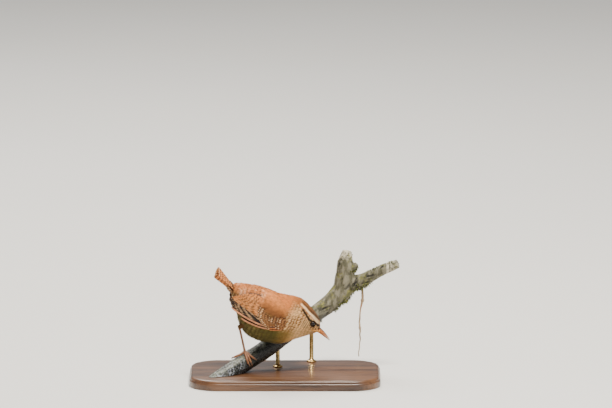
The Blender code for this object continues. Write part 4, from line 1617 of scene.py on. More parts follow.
@dataclass(frozen=True)
class VaneColours:
    """Colours of the wing and tail feathers."""

    black: Array = hue(38, 24, 16)
    dusk: Array = hue(84, 56, 36)
    white: Array = hue(206, 174, 138)
    pink: Array = hue(222, 166, 128)
    alula: Array = hue(206, 140, 88)
    rufous: Array = hue(212, 148, 86)
    covert: Array = hue(160, 116, 72)
    tail: Array = hue(226, 156, 98)
    bar: Array = hue(66, 38, 20)
    spot: Array = hue(246, 214, 176)

    def paint(self, pattern: Pattern, along: Array, across: Array, length: Array,
              pick: Array) -> Array:
        """Colours of points of the vanes.

        Args:
            pattern: The marking.
            along: Share of the length.
            across: From -1 at the inner edge to 1 at the outer.
            length: The feather's length in millimetres.
            pick: A value from 0 to 1 for each feather.

        Returns:
            Linear colours.
        """
        to_tip = (1 - along) * length
        wobble = 0.5 * np.sin(across * 5.0 + pick * 9.0)
        outer = ease(0.0, 0.35, across)
        shaft = np.exp(-((across - 0.2) / 0.09) ** 2)
        if pattern is Pattern.PRIMARY:
            phase = to_tip * 2 * math.pi / 2.15 + wobble + pick * 1.4 + np.abs(across) * 1.4
            pale = ease(0.25, 0.75, np.cos(phase))
            webs = mix(self.black, self.white, 0.9 * pale)
            inner = mix(self.dusk, self.rufous, 0.3 * pale)
            return mix(mix(inner, webs, outer), self.black, 0.6 * shaft)
        if pattern in (Pattern.EDGE, Pattern.ALULA):
            phase = to_tip * 2 * math.pi / 2.6 + pick
            web = self.pink if pattern is Pattern.EDGE else self.alula
            colour = mix(web, self.dusk, 0.22 * ease(0.2, 0.8, np.cos(phase)))
            return mix(self.black, colour, ease(-0.25, 0.05, across))
        if pattern is Pattern.TAIL:
            phase = to_tip * 2 * math.pi / 2.5 + 1.6 * wobble + pick * 2.5 + np.abs(across) * 1.2
            dark = ease(0.15, 0.7, np.cos(phase))
            colour = mix(self.tail, self.bar, 0.82 * dark)
            colour = mix(colour, self.spot, 0.35 * (1 - dark) * ease(0.5, 1.0, across))
            colour = mix(colour, self.spot, 0.55 * (1 - ease(0.2, 1.6, to_tip)))
            return mix(colour, self.bar, 0.5 * shaft)
        covert = pattern is Pattern.COVERT
        phase = to_tip * 2 * math.pi / 2.1 + wobble + pick * 2.0 + np.abs(across) * 1.6
        dark = ease(0.15, 0.75, np.cos(phase))
        colour = mix(self.covert if covert else self.rufous, self.bar, 0.78 * dark)
        colour = mix(colour, self.spot, 0.3 * (1 - dark) * ease(0.4, 0.9, across))
        colour = mix(self.dusk, colour, ease(-0.9, -0.2, across))
        if covert:
            colour = mix(colour, self.bar, 0.5 * (1 - ease(0.0, 2.0, to_tip)))
            for level, side in ((0.75, 0.3), (2.6, 0.35)):
                spot = ((to_tip - level) / 0.42) ** 2 + ((across - side) / 0.36) ** 2
                colour = mix(colour, self.spot, np.exp(-spot**1.5) * (pick > 0.12))
        return mix(colour, self.bar, 0.55 * shaft)


@dataclass(frozen=True)
class Blade:
    """A large feather as a thin closed vane whose middle is cambered over its shaft.

    The half width grows from the quill, holds, and closes to the tip as a quarter of an oval.
    The section is a lens: the upper and lower faces part by the thickness at the shaft.
    """

    rows: int = 22
    columns: int = 7
    thick: float = 0.16
    camber: float = 0.16
    round_share: float = 0.2
    quill: float = 0.4
    bow: float = 0.5

    def build(self, chart: Chart, roots: Array, tips: Array, width: Array, outer: float,
              lift: Array, roll: float, draws: np.random.Generator) -> tuple[Array, Array, Array]:
        """Lay many blades in a chart.

        Args:
            chart: The surface that they lie on.
            roots: Their roots along and across it.
            tips: Their tips.
            width: Their widths.
            outer: Which side the outer web is on, 1 or -1.
            lift: Height of each over the chart.
            roll: Rise of the outer edge for each unit of half width.
            draws: Where the edges' unevenness comes from.

        Returns:
            Rings of points by blade, and how far along and across its blade each point is.
        """
        count = len(roots)
        even = np.linspace(0.0, 1.0, self.rows)
        share = np.sin(even * math.pi / 2) * 0.45 + even * 0.545
        top = np.linspace(-1.0, 1.0, self.columns)
        across = np.concatenate([top, top[-2:0:-1]])
        face = np.concatenate([np.ones(self.columns), -np.ones(self.columns - 2)])
        run = tips - roots
        sideways = np.stack([-run[:, 1], run[:, 0]], axis=-1)
        sideways = unit(sideways) * outer
        half = (self.quill + (1 - self.quill) * ease(0.0, 0.3, share))
        start = 1 - self.round_share
        half = half * np.sqrt(np.clip(1 - (np.clip(share - start, 0, 1) / self.round_share) ** 2,
                                      0.0015, 1))
        half = width[:, None] / 2 * half
        uneven = 1 + 0.05 * draws.normal(size=(count, self.rows, 1)) * np.abs(across) ** 3
        bow = self.bow * 4 * share * (1 - share)
        spot = (roots[:, None, None] + run[:, None, None] * share[None, :, None, None]
                + (half[..., None] * across * uneven + bow[None, :, None])[..., None]
                * sideways[:, None, None])
        level = (lift[:, None, None] + roll * half[..., None] * across
                 + (self.camber + face * self.thick / 2) * (1 - across**2))
        points = chart(spot[..., 0], spot[..., 1], level)
        along = np.broadcast_to(share[None, :, None], level.shape)
        return points, along, np.broadcast_to(across, level.shape)


@dataclass(frozen=True)
class Run:
    """A run of large feathers, from its lowest to its highest.

    Args:
        count: How many.
        roots: Along and across the wing, first and last root.
        tips: First and last tip.
        width: Width of a feather.
        lift: Height over the chart.
        roll: Rise of the outer edge.
        pattern: Its marking.
        bulge: How far the middle tips reach past a straight line.
        round_share: Share of the length in which a tip closes.
        bow: How far the middle stands out towards the outer edge.
    """

    count: int
    roots: tuple[tuple[float, float], tuple[float, float]]
    tips: tuple[tuple[float, float], tuple[float, float]]
    width: float
    lift: float
    roll: float
    pattern: Pattern
    bulge: float = 0.0
    round_share: float = 0.2
    bow: float = 0.2

    def laid(self) -> tuple[Array, Array]:
        """Roots and tips of its feathers."""
        share = np.linspace(0.0, 1.0, self.count)[:, None]
        first, last = np.array(self.roots)
        roots = first + (last - first) * share
        first, last = np.array(self.tips)
        tips = first + (last - first) * share
        tips[:, :1] += self.bulge * 4 * share * (1 - share)
        return roots, tips


def cells(count: int, rings: Array, along: Array, start: int, total: int) -> Array:
    """Bake map islands of blades: each has a cell of a square grid, along it and round it.

    Args:
        count: How many blades.
        rings: Their rings of points.
        along: Share of the length of each point.
        start: Number of the first blade's cell.
        total: How many cells the piece has.

    Returns:
        Places in the map, shaped as the rings are.
    """
    edge = math.ceil(math.sqrt(total))
    number = (start + np.arange(count))[:, None, None]
    around = np.abs(np.linspace(-1.0, 1.0, rings.shape[2]))
    across = np.broadcast_to(around, along.shape)
    return np.stack([(number % edge + 0.05 + 0.9 * along) / edge,
                     (number // edge + 0.05 + 0.9 * across) / edge], axis=-1)


def add_blades(draft: Draft, laid: tuple[Array, Array, Array], colours: VaneColours,
               pattern: Pattern, length: Array, pick: Array, start: int, total: int) -> None:
    """Colour laid blades and add them to a draft.

    Args:
        draft: Takes the blades.
        laid: Rings of points, and how far along and across its blade each point is.
        colours: The bird's colours.
        pattern: The marking.
        length: Each blade's length.
        pick: A value from 0 to 1 for each blade.
        start: Number of the first blade's cell of the bake map.
        total: How many cells the piece has.
    """
    rings, along, across = laid
    count = len(rings)
    length, pick = (value.reshape(count, 1, 1) for value in (length, pick))
    tint = deepen(colours.paint(pattern, along, across, length, pick))
    draft.add_loft(rings, tint=tint, lie=lie_values(along * length / 6.0, across, pick),
                   patch=cells(count, rings, along, start, total))


@dataclass
class Wings:
    """Both folded wings, feather by feather, over a thin plate of forearm and hand."""

    form: WingForm
    colours: VaneColours = field(default_factory=VaneColours)
    runs: tuple[Run, ...] = (
        Run(1, ((5.0, -5.2), (5.0, -5.2)), ((30.8, -7.0), (30.8, -7.0)), 1.9, 0.42, 0.16,
            Pattern.EDGE, 0.0, 0.1, 1.3),
        Run(1, ((7.0, -4.6), (7.0, -4.6)), ((39.6, -3.2), (39.6, -3.2)), 2.0, 0.62, 0.16,
            Pattern.EDGE, 0.0, 0.1, 1.5),
        Run(8, ((7.0, -4.2), (12.0, -2.0)), ((40.4, -1.6), (43.2, 2.6)), 2.3, 0.74, 0.2,
            Pattern.PRIMARY, 1.0, 0.14, 1.0),
        Run(8, ((12.0, -1.2), (10.0, 6.4)), ((41.6, 3.4), (34.6, 7.9)), 3.0, 0.82, 0.2,
            Pattern.SECONDARY, 0.0, 0.2, 0.5),
        Run(3, ((9.5, 6.8), (8.5, 8.4)), ((33.0, 8.4), (29.6, 10.0)), 3.8, 0.84, 0.16,
            Pattern.SECONDARY, 0.0, 0.26, 0.4),
        Run(8, ((2.5, -3.4), (6.5, 0.0)), ((13.4, -6.2), (20.0, -2.4)), 1.9, 1.2, 0.16,
            Pattern.COVERT, 0.6, 0.3, 0.6),
        Run(6, ((8.0, 0.2), (9.0, 5.6)), ((21.8, -1.0), (21.5, 5.8)), 2.5, 1.28, 0.14,
            Pattern.COVERT, 0.8, 0.3),
        Run(5, ((3.0, 0.0), (3.6, 3.8)), ((13.6, -0.6), (13.5, 4.2)), 2.4, 1.66, 0.12,
            Pattern.COVERT, 0.6, 0.36),
        Run(2, ((0.6, -2.9), (1.4, -1.8)), ((10.4, -6.6), (11.0, -5.4)), 1.3, 1.55, 0.12,
            Pattern.ALULA, 0.3, 0.2, 0.4),
        Run(6, ((0.0, -2.6), (0.8, 2.4)), ((7.6, -3.6), (8.0, 3.2)), 2.0, 1.86, 0.1,
            Pattern.COVERT, 0.4, 0.42),
    )
    # Along the wing, lower edge, upper edge and thickness of the plate.
    plate: Table = ((-1.0, -1.8, 2.0, 0.8), (3.0, -4.2, 6.0, 1.3), (8.0, -5.6, 10.0, 1.3),
                    (15.0, -6.4, 11.6, 0.8), (22.0, -5.6, 11.2, 0.5), (27.0, -4.2, 9.0, 0.4))
    plate_rows: int = 24
    plate_columns: int = 12
    blade_rows: int = 22

    def build(self, material: bpy.types.Material) -> list[bpy.types.Object]:
        """One piece for each wing."""
        return [self.one(side, material) for side in Side]

    def one(self, side: Side, material: bpy.types.Material) -> bpy.types.Object:
        """The plate and every run of one wing."""
        chart = self.form.chart(side)
        draws = np.random.default_rng(31)
        draft = Draft()
        total = sum(run.count for run in self.runs) + 1
        place = np.linspace(self.plate[0][0], self.plate[-1][0], self.plate_rows)
        low, high, thick = (smooth(self.plate, column, place)[:, None] for column in (1, 2, 3))
        share = np.linspace(0.0, 1.0, self.plate_columns)
        over = chart(place[:, None], low + (high - low) * share, thick * np.ones_like(share))
        under = chart(place[:, None], low + (high - low) * share[::-1], 0 * share + 0 * thick)
        rings = np.concatenate([over, under], axis=1)[None]
        along = np.broadcast_to(np.linspace(0, 1, self.plate_rows)[None, :, None], rings.shape[:3])
        draft.add_loft(rings, tint=np.broadcast_to(self.colours.dusk, rings.shape),
                       lie=np.stack([along, along * 0, along * 0], axis=-1),
                       patch=cells(1, rings, along, total - 1, total))
        start = 0
        for run in self.runs:
            roots, tips = run.laid()
            blade = Blade(rows=self.blade_rows, round_share=run.round_share, bow=run.bow)
            wide = run.width * (1 + 0.06 * draws.normal(size=run.count))
            lift = run.lift + 0.05 * draws.normal(size=run.count)
            tips = tips + 0.18 * draws.normal(size=tips.shape)
            laid = blade.build(chart, roots, tips, wide, -1.0, lift, run.roll, draws)
            length = np.linalg.norm(tips - roots, axis=1)
            add_blades(draft, laid, self.colours, run.pattern, length, draws.random(run.count), start,
                       total)
            start += run.count
        return draft.finish(f"wing_feathers_{side.word}", material, Slot.BARRED,
                            (f"wing_{side.word}",))


@dataclass
class Tail:
    """Twelve tail feathers and the coverts over and under their roots."""

    form: TailForm
    colours: VaneColours = field(default_factory=VaneColours)
    width: float = 3.0
    root_pitch: float = 0.55
    covert_length: float = 7.5
    covert_width: float = 2.6
    coverts: int = 11
    covert_reach: float = 3.6

    def build(self, material: bpy.types.Material) -> bpy.types.Object:
        """The whole tail as one piece."""
        draft = Draft()
        draws = np.random.default_rng(41)
        start = self.form.start
        half = len(self.form.steps)
        total = 2 * half + 2 * self.coverts
        number = np.arange(half)
        for side, first in ((-1.0, 0), (1.0, half)):
            roots = np.stack([np.full(half, start), side * (0.4 + self.root_pitch * number)], axis=-1)
            tips = np.stack([self.form.length - np.array(self.form.steps),
                             side * (0.75 + self.form.pitch * number)], axis=-1)
            lift = 0.35 + 0.05 * (half - 1 - number)
            self.lay(draft, Blade(rows=26, bow=0.0, round_share=0.12), roots, tips, self.width, side,
                     lift, 0.2, Pattern.TAIL, first, total, draws)
        out = np.linspace(-self.covert_reach, self.covert_reach, self.coverts)
        other = np.arange(self.coverts) % 2
        for sign, first, level in ((1.0, 2 * half, 1.15), (-1.0, 2 * half + self.coverts, -1.1)):
            roots = np.stack([np.full(self.coverts, start - 1.0), out * 0.8], axis=-1)
            reach = self.form.cut + self.covert_length - np.abs(out) * 0.7
            reach = reach - 0.9 * other
            tips = np.stack([reach, out], axis=-1)
            lift = level + sign * 0.12 * other
            self.lay(draft, Blade(rows=14, round_share=0.4, bow=0.0), roots, tips, self.covert_width,
                     1.0, lift, 0.0, Pattern.COVERT, first, total, draws)
        return draft.finish("tail_feathers", material, Slot.BARRED, ("tail",))

    def lay(self, draft: Draft, blade: Blade, roots: Array, tips: Array, width: float, outer: float,
            lift: Array, roll: float, pattern: Pattern, first: int, total: int,
            draws: np.random.Generator) -> None:
        """Lay one side's feathers or one row of coverts.

        Args:
            draft: Takes the feathers.
            blade: Their shape.
            roots: Their roots along and across the tail.
            tips: Their tips.
            width: Their mean width.
            outer: Which side the outer web is on, 1 or -1.
            lift: Height of each over the sheet.
            roll: Rise of the outer edge for each unit of half width.
            pattern: Their marking.
            first: Number of the first one's cell of the bake map.
            total: How many cells the piece has.
            draws: Where their unevenness comes from.
        """
        count = len(roots)
        wide = width * (1 + 0.04 * draws.normal(size=count))
        laid = blade.build(self.form.chart, roots, tips, wide, outer, lift, roll, draws)
        length = np.linalg.norm(tips - roots, axis=1)
        add_blades(draft, laid, self.colours, pattern, length, draws.random(count), first, total)


@dataclass
class Eyes:
    """Glossy eyeballs with lids of fine beads."""

    place: Place
    lid_ring: float = 2.0
    lid_tube: float = 0.36
    lid_rows: int = 72
    lid_columns: int = 14
    rows: int = 40
    columns: int = 56

    def build(self, ball: bpy.types.Material, lid: bpy.types.Material) -> None:
        """Make both eyeballs and both rings of lid."""
        for side in Side:
            normal = self.place.eye_normal(side)
            centre = self.place.eye_centre(side)
            up = unit(np.array([0.0, 0.0, 1.0]) - normal * normal[2])
            axes = (normal, up, np.cross(up, normal))
            self.eyeball(side, centre, axes, ball)
            self.eyelid(side, centre, axes, lid)

    def eyeball(self, side: Side, centre: Array, axes: tuple[Array, Array, Array],
                material: bpy.types.Material) -> None:
        """A ball that swells at the cornea.

        Its radius grows by a bell curve of the angle from the eye's axis.

        Args:
            side: Which eye.
            centre: The ball's middle.
            axes: Out of the head, up and sideways.
            material: Its finish.
        """
        normal, up, beside = axes
        polar = np.linspace(0.02, math.pi - 0.02, self.rows)[:, None]
        angle = turns(self.columns)
        swell = self.place.eye_radius * (1 + 0.05 * np.exp(-(polar / 0.5) ** 2))
        rings = (centre + (swell * np.cos(polar))[..., None] * normal
                 + (swell * np.sin(polar) * np.cos(angle))[..., None] * up
                 + (swell * np.sin(polar) * np.sin(angle))[..., None] * beside)
        gaze = np.broadcast_to(polar / math.pi, rings.shape[:2])
        draft = Draft()
        draft.add_loft(rings[None], lie=np.stack([gaze, gaze * 0, gaze * 0], axis=-1)[None])
        draft.finish(f"eyeball_{side.word}", material, Slot.EYE, (f"eye_{side.word}",))

    def eyelid(self, side: Side, centre: Array, axes: tuple[Array, Array, Array],
               material: bpy.types.Material) -> None:
        """A beaded ring round the ball, a torus whose tube swells with a wave round the eye.

        Args:
            side: Which eye.
            centre: The ball's middle.
            axes: Out of the head, up and sideways.
            material: Its finish.
        """
        normal, up, beside = axes
        rows, columns = self.lid_rows, self.lid_columns
        around = np.linspace(0.0, 2 * math.pi, rows + 1)[:-1, None]
        bend = turns(columns)
        bead = 1 + 0.14 * np.abs(np.sin(around * 15)) * ease(-0.2, 0.8, np.cos(bend))
        reach = self.lid_ring - 0.12 * np.abs(np.cos(around)) ** 3
        out = reach + self.lid_tube * bead * np.cos(bend + math.pi)
        rise = self.lid_tube * bead * np.sin(bend) * 0.9 + 0.78 + 0.1 * np.cos(around)
        rings = (centre + rise[..., None] * normal
                 + (out * np.cos(around))[..., None] * up
                 + (out * np.sin(around))[..., None] * beside)
        here = np.arange(columns)
        onward = (here + 1) % columns
        last = (rows - 1) * columns
        closing = np.stack([last + here, here, onward, last + onward], axis=-1)
        faces = np.concatenate([grid_faces(rows, columns, closed=True), closing])
        points = rings.reshape(-1, 3)
        outward = points - np.repeat(rings.mean(axis=1), columns, axis=0)
        if (point_normals(points, faces) * outward).sum() < 0:
            faces = faces[:, ::-1]
        draft = Draft()
        draft.add(points, [faces])
        draft.finish(f"eyelid_{side.word}", material, Slot.BUFF)


@dataclass
class Bill:
    """Both halves of the bill, with the gape's soft corners.

    Each half is a half oval carried from the base to the tip. The upper one narrows to a rounded
    ridge and is hollowed round the nostril; the lower one has a keel.
    """

    place: Place
    # Distance from the base, culmen, mouth line, lower edge, half width.
    stations: Table = (
        (-1.6, 1.7, -0.75, -1.95, 2.0), (0.3, 1.9, -0.45, -1.75, 1.85), (2.2, 1.95, -0.1, -1.35, 1.55),
        (4.4, 1.75, 0.15, -1.05, 1.2), (6.8, 1.3, 0.15, -0.85, 0.9), (9.0, 0.75, 0.05, -0.6, 0.6),
        (10.4, 0.3, -0.12, -0.42, 0.3), (11.0, 0.02, -0.2, -0.34, 0.1),
    )
    rows: int = 60
    columns: int = 28
    gap: float = 0.3
    nostril: tuple[float, float] = (2.3, 0.85)

    def build(self, horn: bpy.types.Material, soft: bpy.types.Material) -> None:
        """Make the two halves and the gape."""
        for name, column, sign, slot in (("bill_top", 1, 1.0, Slot.HORN),
                                         ("bill_under", 3, -1.0, Slot.ORANGE)):
            along = np.linspace(self.stations[0][0], self.stations[-1][0], self.rows)[:, None]
            outer, mouth, width = (smooth(self.stations, part, along) for part in (column, 2, 4))
            near = 1 - ease(0.0, 1.5, along)
            mouth = mouth + sign * self.gap / 2 * (1 - 0.6 * near)
            angle = np.linspace(0.0, math.pi, self.columns)
            power = 0.82 if sign > 0 else 0.9
            rise = np.sin(angle) ** power
            flat = width * np.sign(np.cos(angle)) * np.abs(np.cos(angle)) ** 0.9
            up = mouth + (outer - mouth) * rise
            if sign > 0:
                hole = np.exp(-((along - self.nostril[0]) / 0.75) ** 2
                              - ((up - self.nostril[1]) / 0.3) ** 2)
                groove = np.exp(-((along - 1.4) / 1.9) ** 2 - ((up - 0.95) / 0.55) ** 2)
                flat = flat * (1 - 0.4 * hole - 0.16 * groove)
            roof = self.place.bill(along, up, flat)
            inner = np.linspace(math.pi, 0.0, 10)[1:-1]
            floor = self.place.bill(along, mouth, width * np.cos(inner))
            rings = np.concatenate([roof, floor], axis=1)
            level = np.concatenate([rise + 0 * along, np.zeros((self.rows, 8))], axis=1)
            reach = np.broadcast_to(along / 11.0, level.shape)
            lie = np.stack([reach, level, level * 0 + sign], axis=-1)
            draft = Draft()
            draft.add_loft(rings[None], lie=lie[None])
            node = "bill_upper" if sign > 0 else "bill_lower"
            draft.finish(name, horn, slot, (node,))
        for side in Side:
            self.gape_lip(side, soft)

    def gape_lip(self, side: Side, soft: bpy.types.Material) -> None:
        """The soft lips from the bill's base back to the mouth's corner, one upper, one lower.

        Args:
            side: Which corner of the mouth.
            soft: The finish.
        """
        draft = Draft()
        steps = np.linspace(0.0, 1.0, 18)
        along = 1.6 + (self.place.gape[0] - 1.6) * steps
        line = -0.25 + (self.place.gape[1] + 0.25) * steps**1.25
        for sign in (1.0, -1.0):
            up = line + sign * (0.34 - 0.24 * steps**3)
            spot = self.place.bill(along, up, 0.0)
            place, height = self.place.form.across(spot)
            inside = self.place.form.side(place, height)
            bill_side = smooth(self.stations, 4, along) * 0.98
            spot[:, 1] = side.value * np.maximum(inside + 0.02, bill_side * (1 - ease(0.1, 0.6, steps)))
            radius = 0.4 * (1 - 0.55 * steps**2)
            rings, _ = tube_rings(spot, radius, 12)
            draft.add_loft(rings[None])
        draft.finish(f"gape_{side.word}", soft, Slot.ORANGE)


@dataclass
class Legs:
    """Scaly shanks, padded toes and curved claws, gripping the branch."""

    branch: BranchForm
    heels: Table = ((-31.1, -6.0, 38.1), (-13.0, 14.8, 28.6))
    feet: Table = ((-25.8, 6.0), (4.2, -50.0))
    foot_lift: float = 1.5
    toe_radius: float = 0.75
    claw_radius: float = 0.5
    gap: float = 0.3
    # Place along the branch and angle round it of each joint, the claw's tip last.
    toes: tuple[tuple[Table, ...], ...] = (
        (((-25.6, 28.0), (-25.5, 50.0), (-24.5, 74.0), (-23.4, 94.0)),
         ((-26.3, 28.0), (-27.0, 54.0), (-27.3, 82.0), (-27.5, 112.0)),
         ((-27.0, 25.0), (-28.3, 52.0), (-29.0, 80.0), (-28.4, 106.0)),
         ((-28.0, 2.0), (-30.0, -6.0), (-31.6, -18.0), (-32.0, -42.0))),
        (((5.4, -70.0), (6.4, -98.0), (6.8, -126.0), (6.6, -154.0)),
         ((4.0, -76.0), (3.6, -110.0), (2.8, -146.0), (1.8, -182.0)),
         ((3.0, -74.0), (1.4, -98.0), (0.6, -124.0), (0.2, -150.0)),
         ((3.2, -36.0), (1.8, -24.0), (0.6, -10.0), (0.0, 10.0))),
    )
    scute: float = 0.75

    def shank(self, draft: Draft, heel: Array, ankle: Array) -> None:
        """A shank with overlapping scutes down its front and a knobbed heel.

        Args:
            draft: Takes the shank.
            heel: Its upper end.
            ankle: Its lower end.
        """
        rows = 90
        share = np.linspace(-0.05, 1.04, rows)[:, None]
        points = heel + (ankle - heel) * share
        length = float(np.linalg.norm(ankle - heel))
        knob = 0.42 * np.exp(-((share * length - 0.2) / 1.0) ** 2)
        end = 0.3 * np.exp(-(((1 - share) * length) / 1.1) ** 2)
        angle = turns(20)
        saw = (share * length / (self.scute * 1.7)) % 1.0
        plate = 0.07 * (1 - saw) * ease(-0.3, 0.5, np.cos(angle))
        radius = 0.72 + knob + end + plate
        radius = radius * (1 - 0.9 * ease(1.01, 1.04, share)) * (1 - 0.9 * (1 - ease(-0.05, -0.02, share)))
        rings, _ = tube_rings(points, radius, 20, up=(1.0, 0.0, 0.3))
        lie = np.stack(np.broadcast_arrays(share * length, np.cos(angle), saw), axis=-1)
        draft.add_loft(rings[None], lie=lie[None])

    def toe(self, skin: Draft, claws: Draft, foot: tuple[float, ...], places: Table) -> None:
        """One toe with scutes above and pads below, and its claw.

        Args:
            skin: Takes the toe.
            claws: Takes the claw.
            foot: Place along the branch and angle round it of the foot's middle.
            places: The same for each joint, the claw's tip last.
        """
        points = [self.branch.point(*foot, self.foot_lift)]
        for place, angle in places[:-1]:
            points.append(self.branch.point(place, angle, self.toe_radius + self.gap))
        tip = self.branch.point(*places[-1], 0.12)
        lifted = self.branch.point((places[-1][0] + places[-2][0]) / 2,
                                   (places[-1][1] + places[-2][1]) / 2, self.toe_radius + 0.55)
        radii = np.array([1.0, 0.78, 0.7, 0.62])
        rows = tuple((*spot, radius) for spot, radius in zip(points, radii))
        path, radius = smooth_path(rows, 60)
        under = [self.branch.point(place, 0.0, -6.0) for place, _ in places[1:3]]
        centre = np.array(under).mean(axis=0)
        up = unit(points[2] - centre)
        share = np.linspace(0.0, 1.0, 60)[:, None]
        length = float(np.linalg.norm(np.diff(path, axis=0), axis=1).sum())
        angle = turns(18)
        saw = (share * length / self.scute) % 1.0
        plate = 0.07 * (1 - saw) * ease(0.0, 0.7, np.cos(angle))
        pads = 0.1 * np.abs(np.sin(share * math.pi * 3.5)) * ease(0.1, 0.8, -np.cos(angle))
        ends = np.sqrt(np.clip(1 - ((share - 0.92) / 0.08).clip(0, 1) ** 2, 0.02, 1))
        rings, _ = tube_rings(path, (radius[:, None] + plate + pads) * ends, 18, up=tuple(up))
        lie = np.stack(np.broadcast_arrays(share * length, np.cos(angle), saw), axis=-1)
        skin.add_loft(rings[None], lie=lie[None])
        rows = tuple((*spot, size) for spot, size in
                     zip((path[-4], lifted, tip), (self.claw_radius * 0.92, 0.34, 0.03)))
        path, radius = smooth_path(rows, 20)
        rings, _ = tube_rings(path, radius, 12, flat=1.25, up=tuple(up))
        claws.add_loft(rings[None])

    def build(self, skin: bpy.types.Material, horn: bpy.types.Material) -> None:
        """Make both legs."""
        for number, side in enumerate(Side):
            foot = self.feet[number]
            ankle = self.branch.point(*foot, self.foot_lift)
            shank = Draft()
            self.shank(shank, np.array(self.heels[number]), ankle)
            shank.finish(f"leg_{side.word}", skin, Slot.LEG, (f"shank_{side.word}",))
            toes, claws = Draft(), Draft()
            for places in self.toes[number]:
                self.toe(toes, claws, foot, places)
            toes.finish(f"toes_{side.word}", skin, Slot.LEG, (f"foot_{side.word}",))
            claws.finish(f"claws_{side.word}", horn, Slot.HORN)


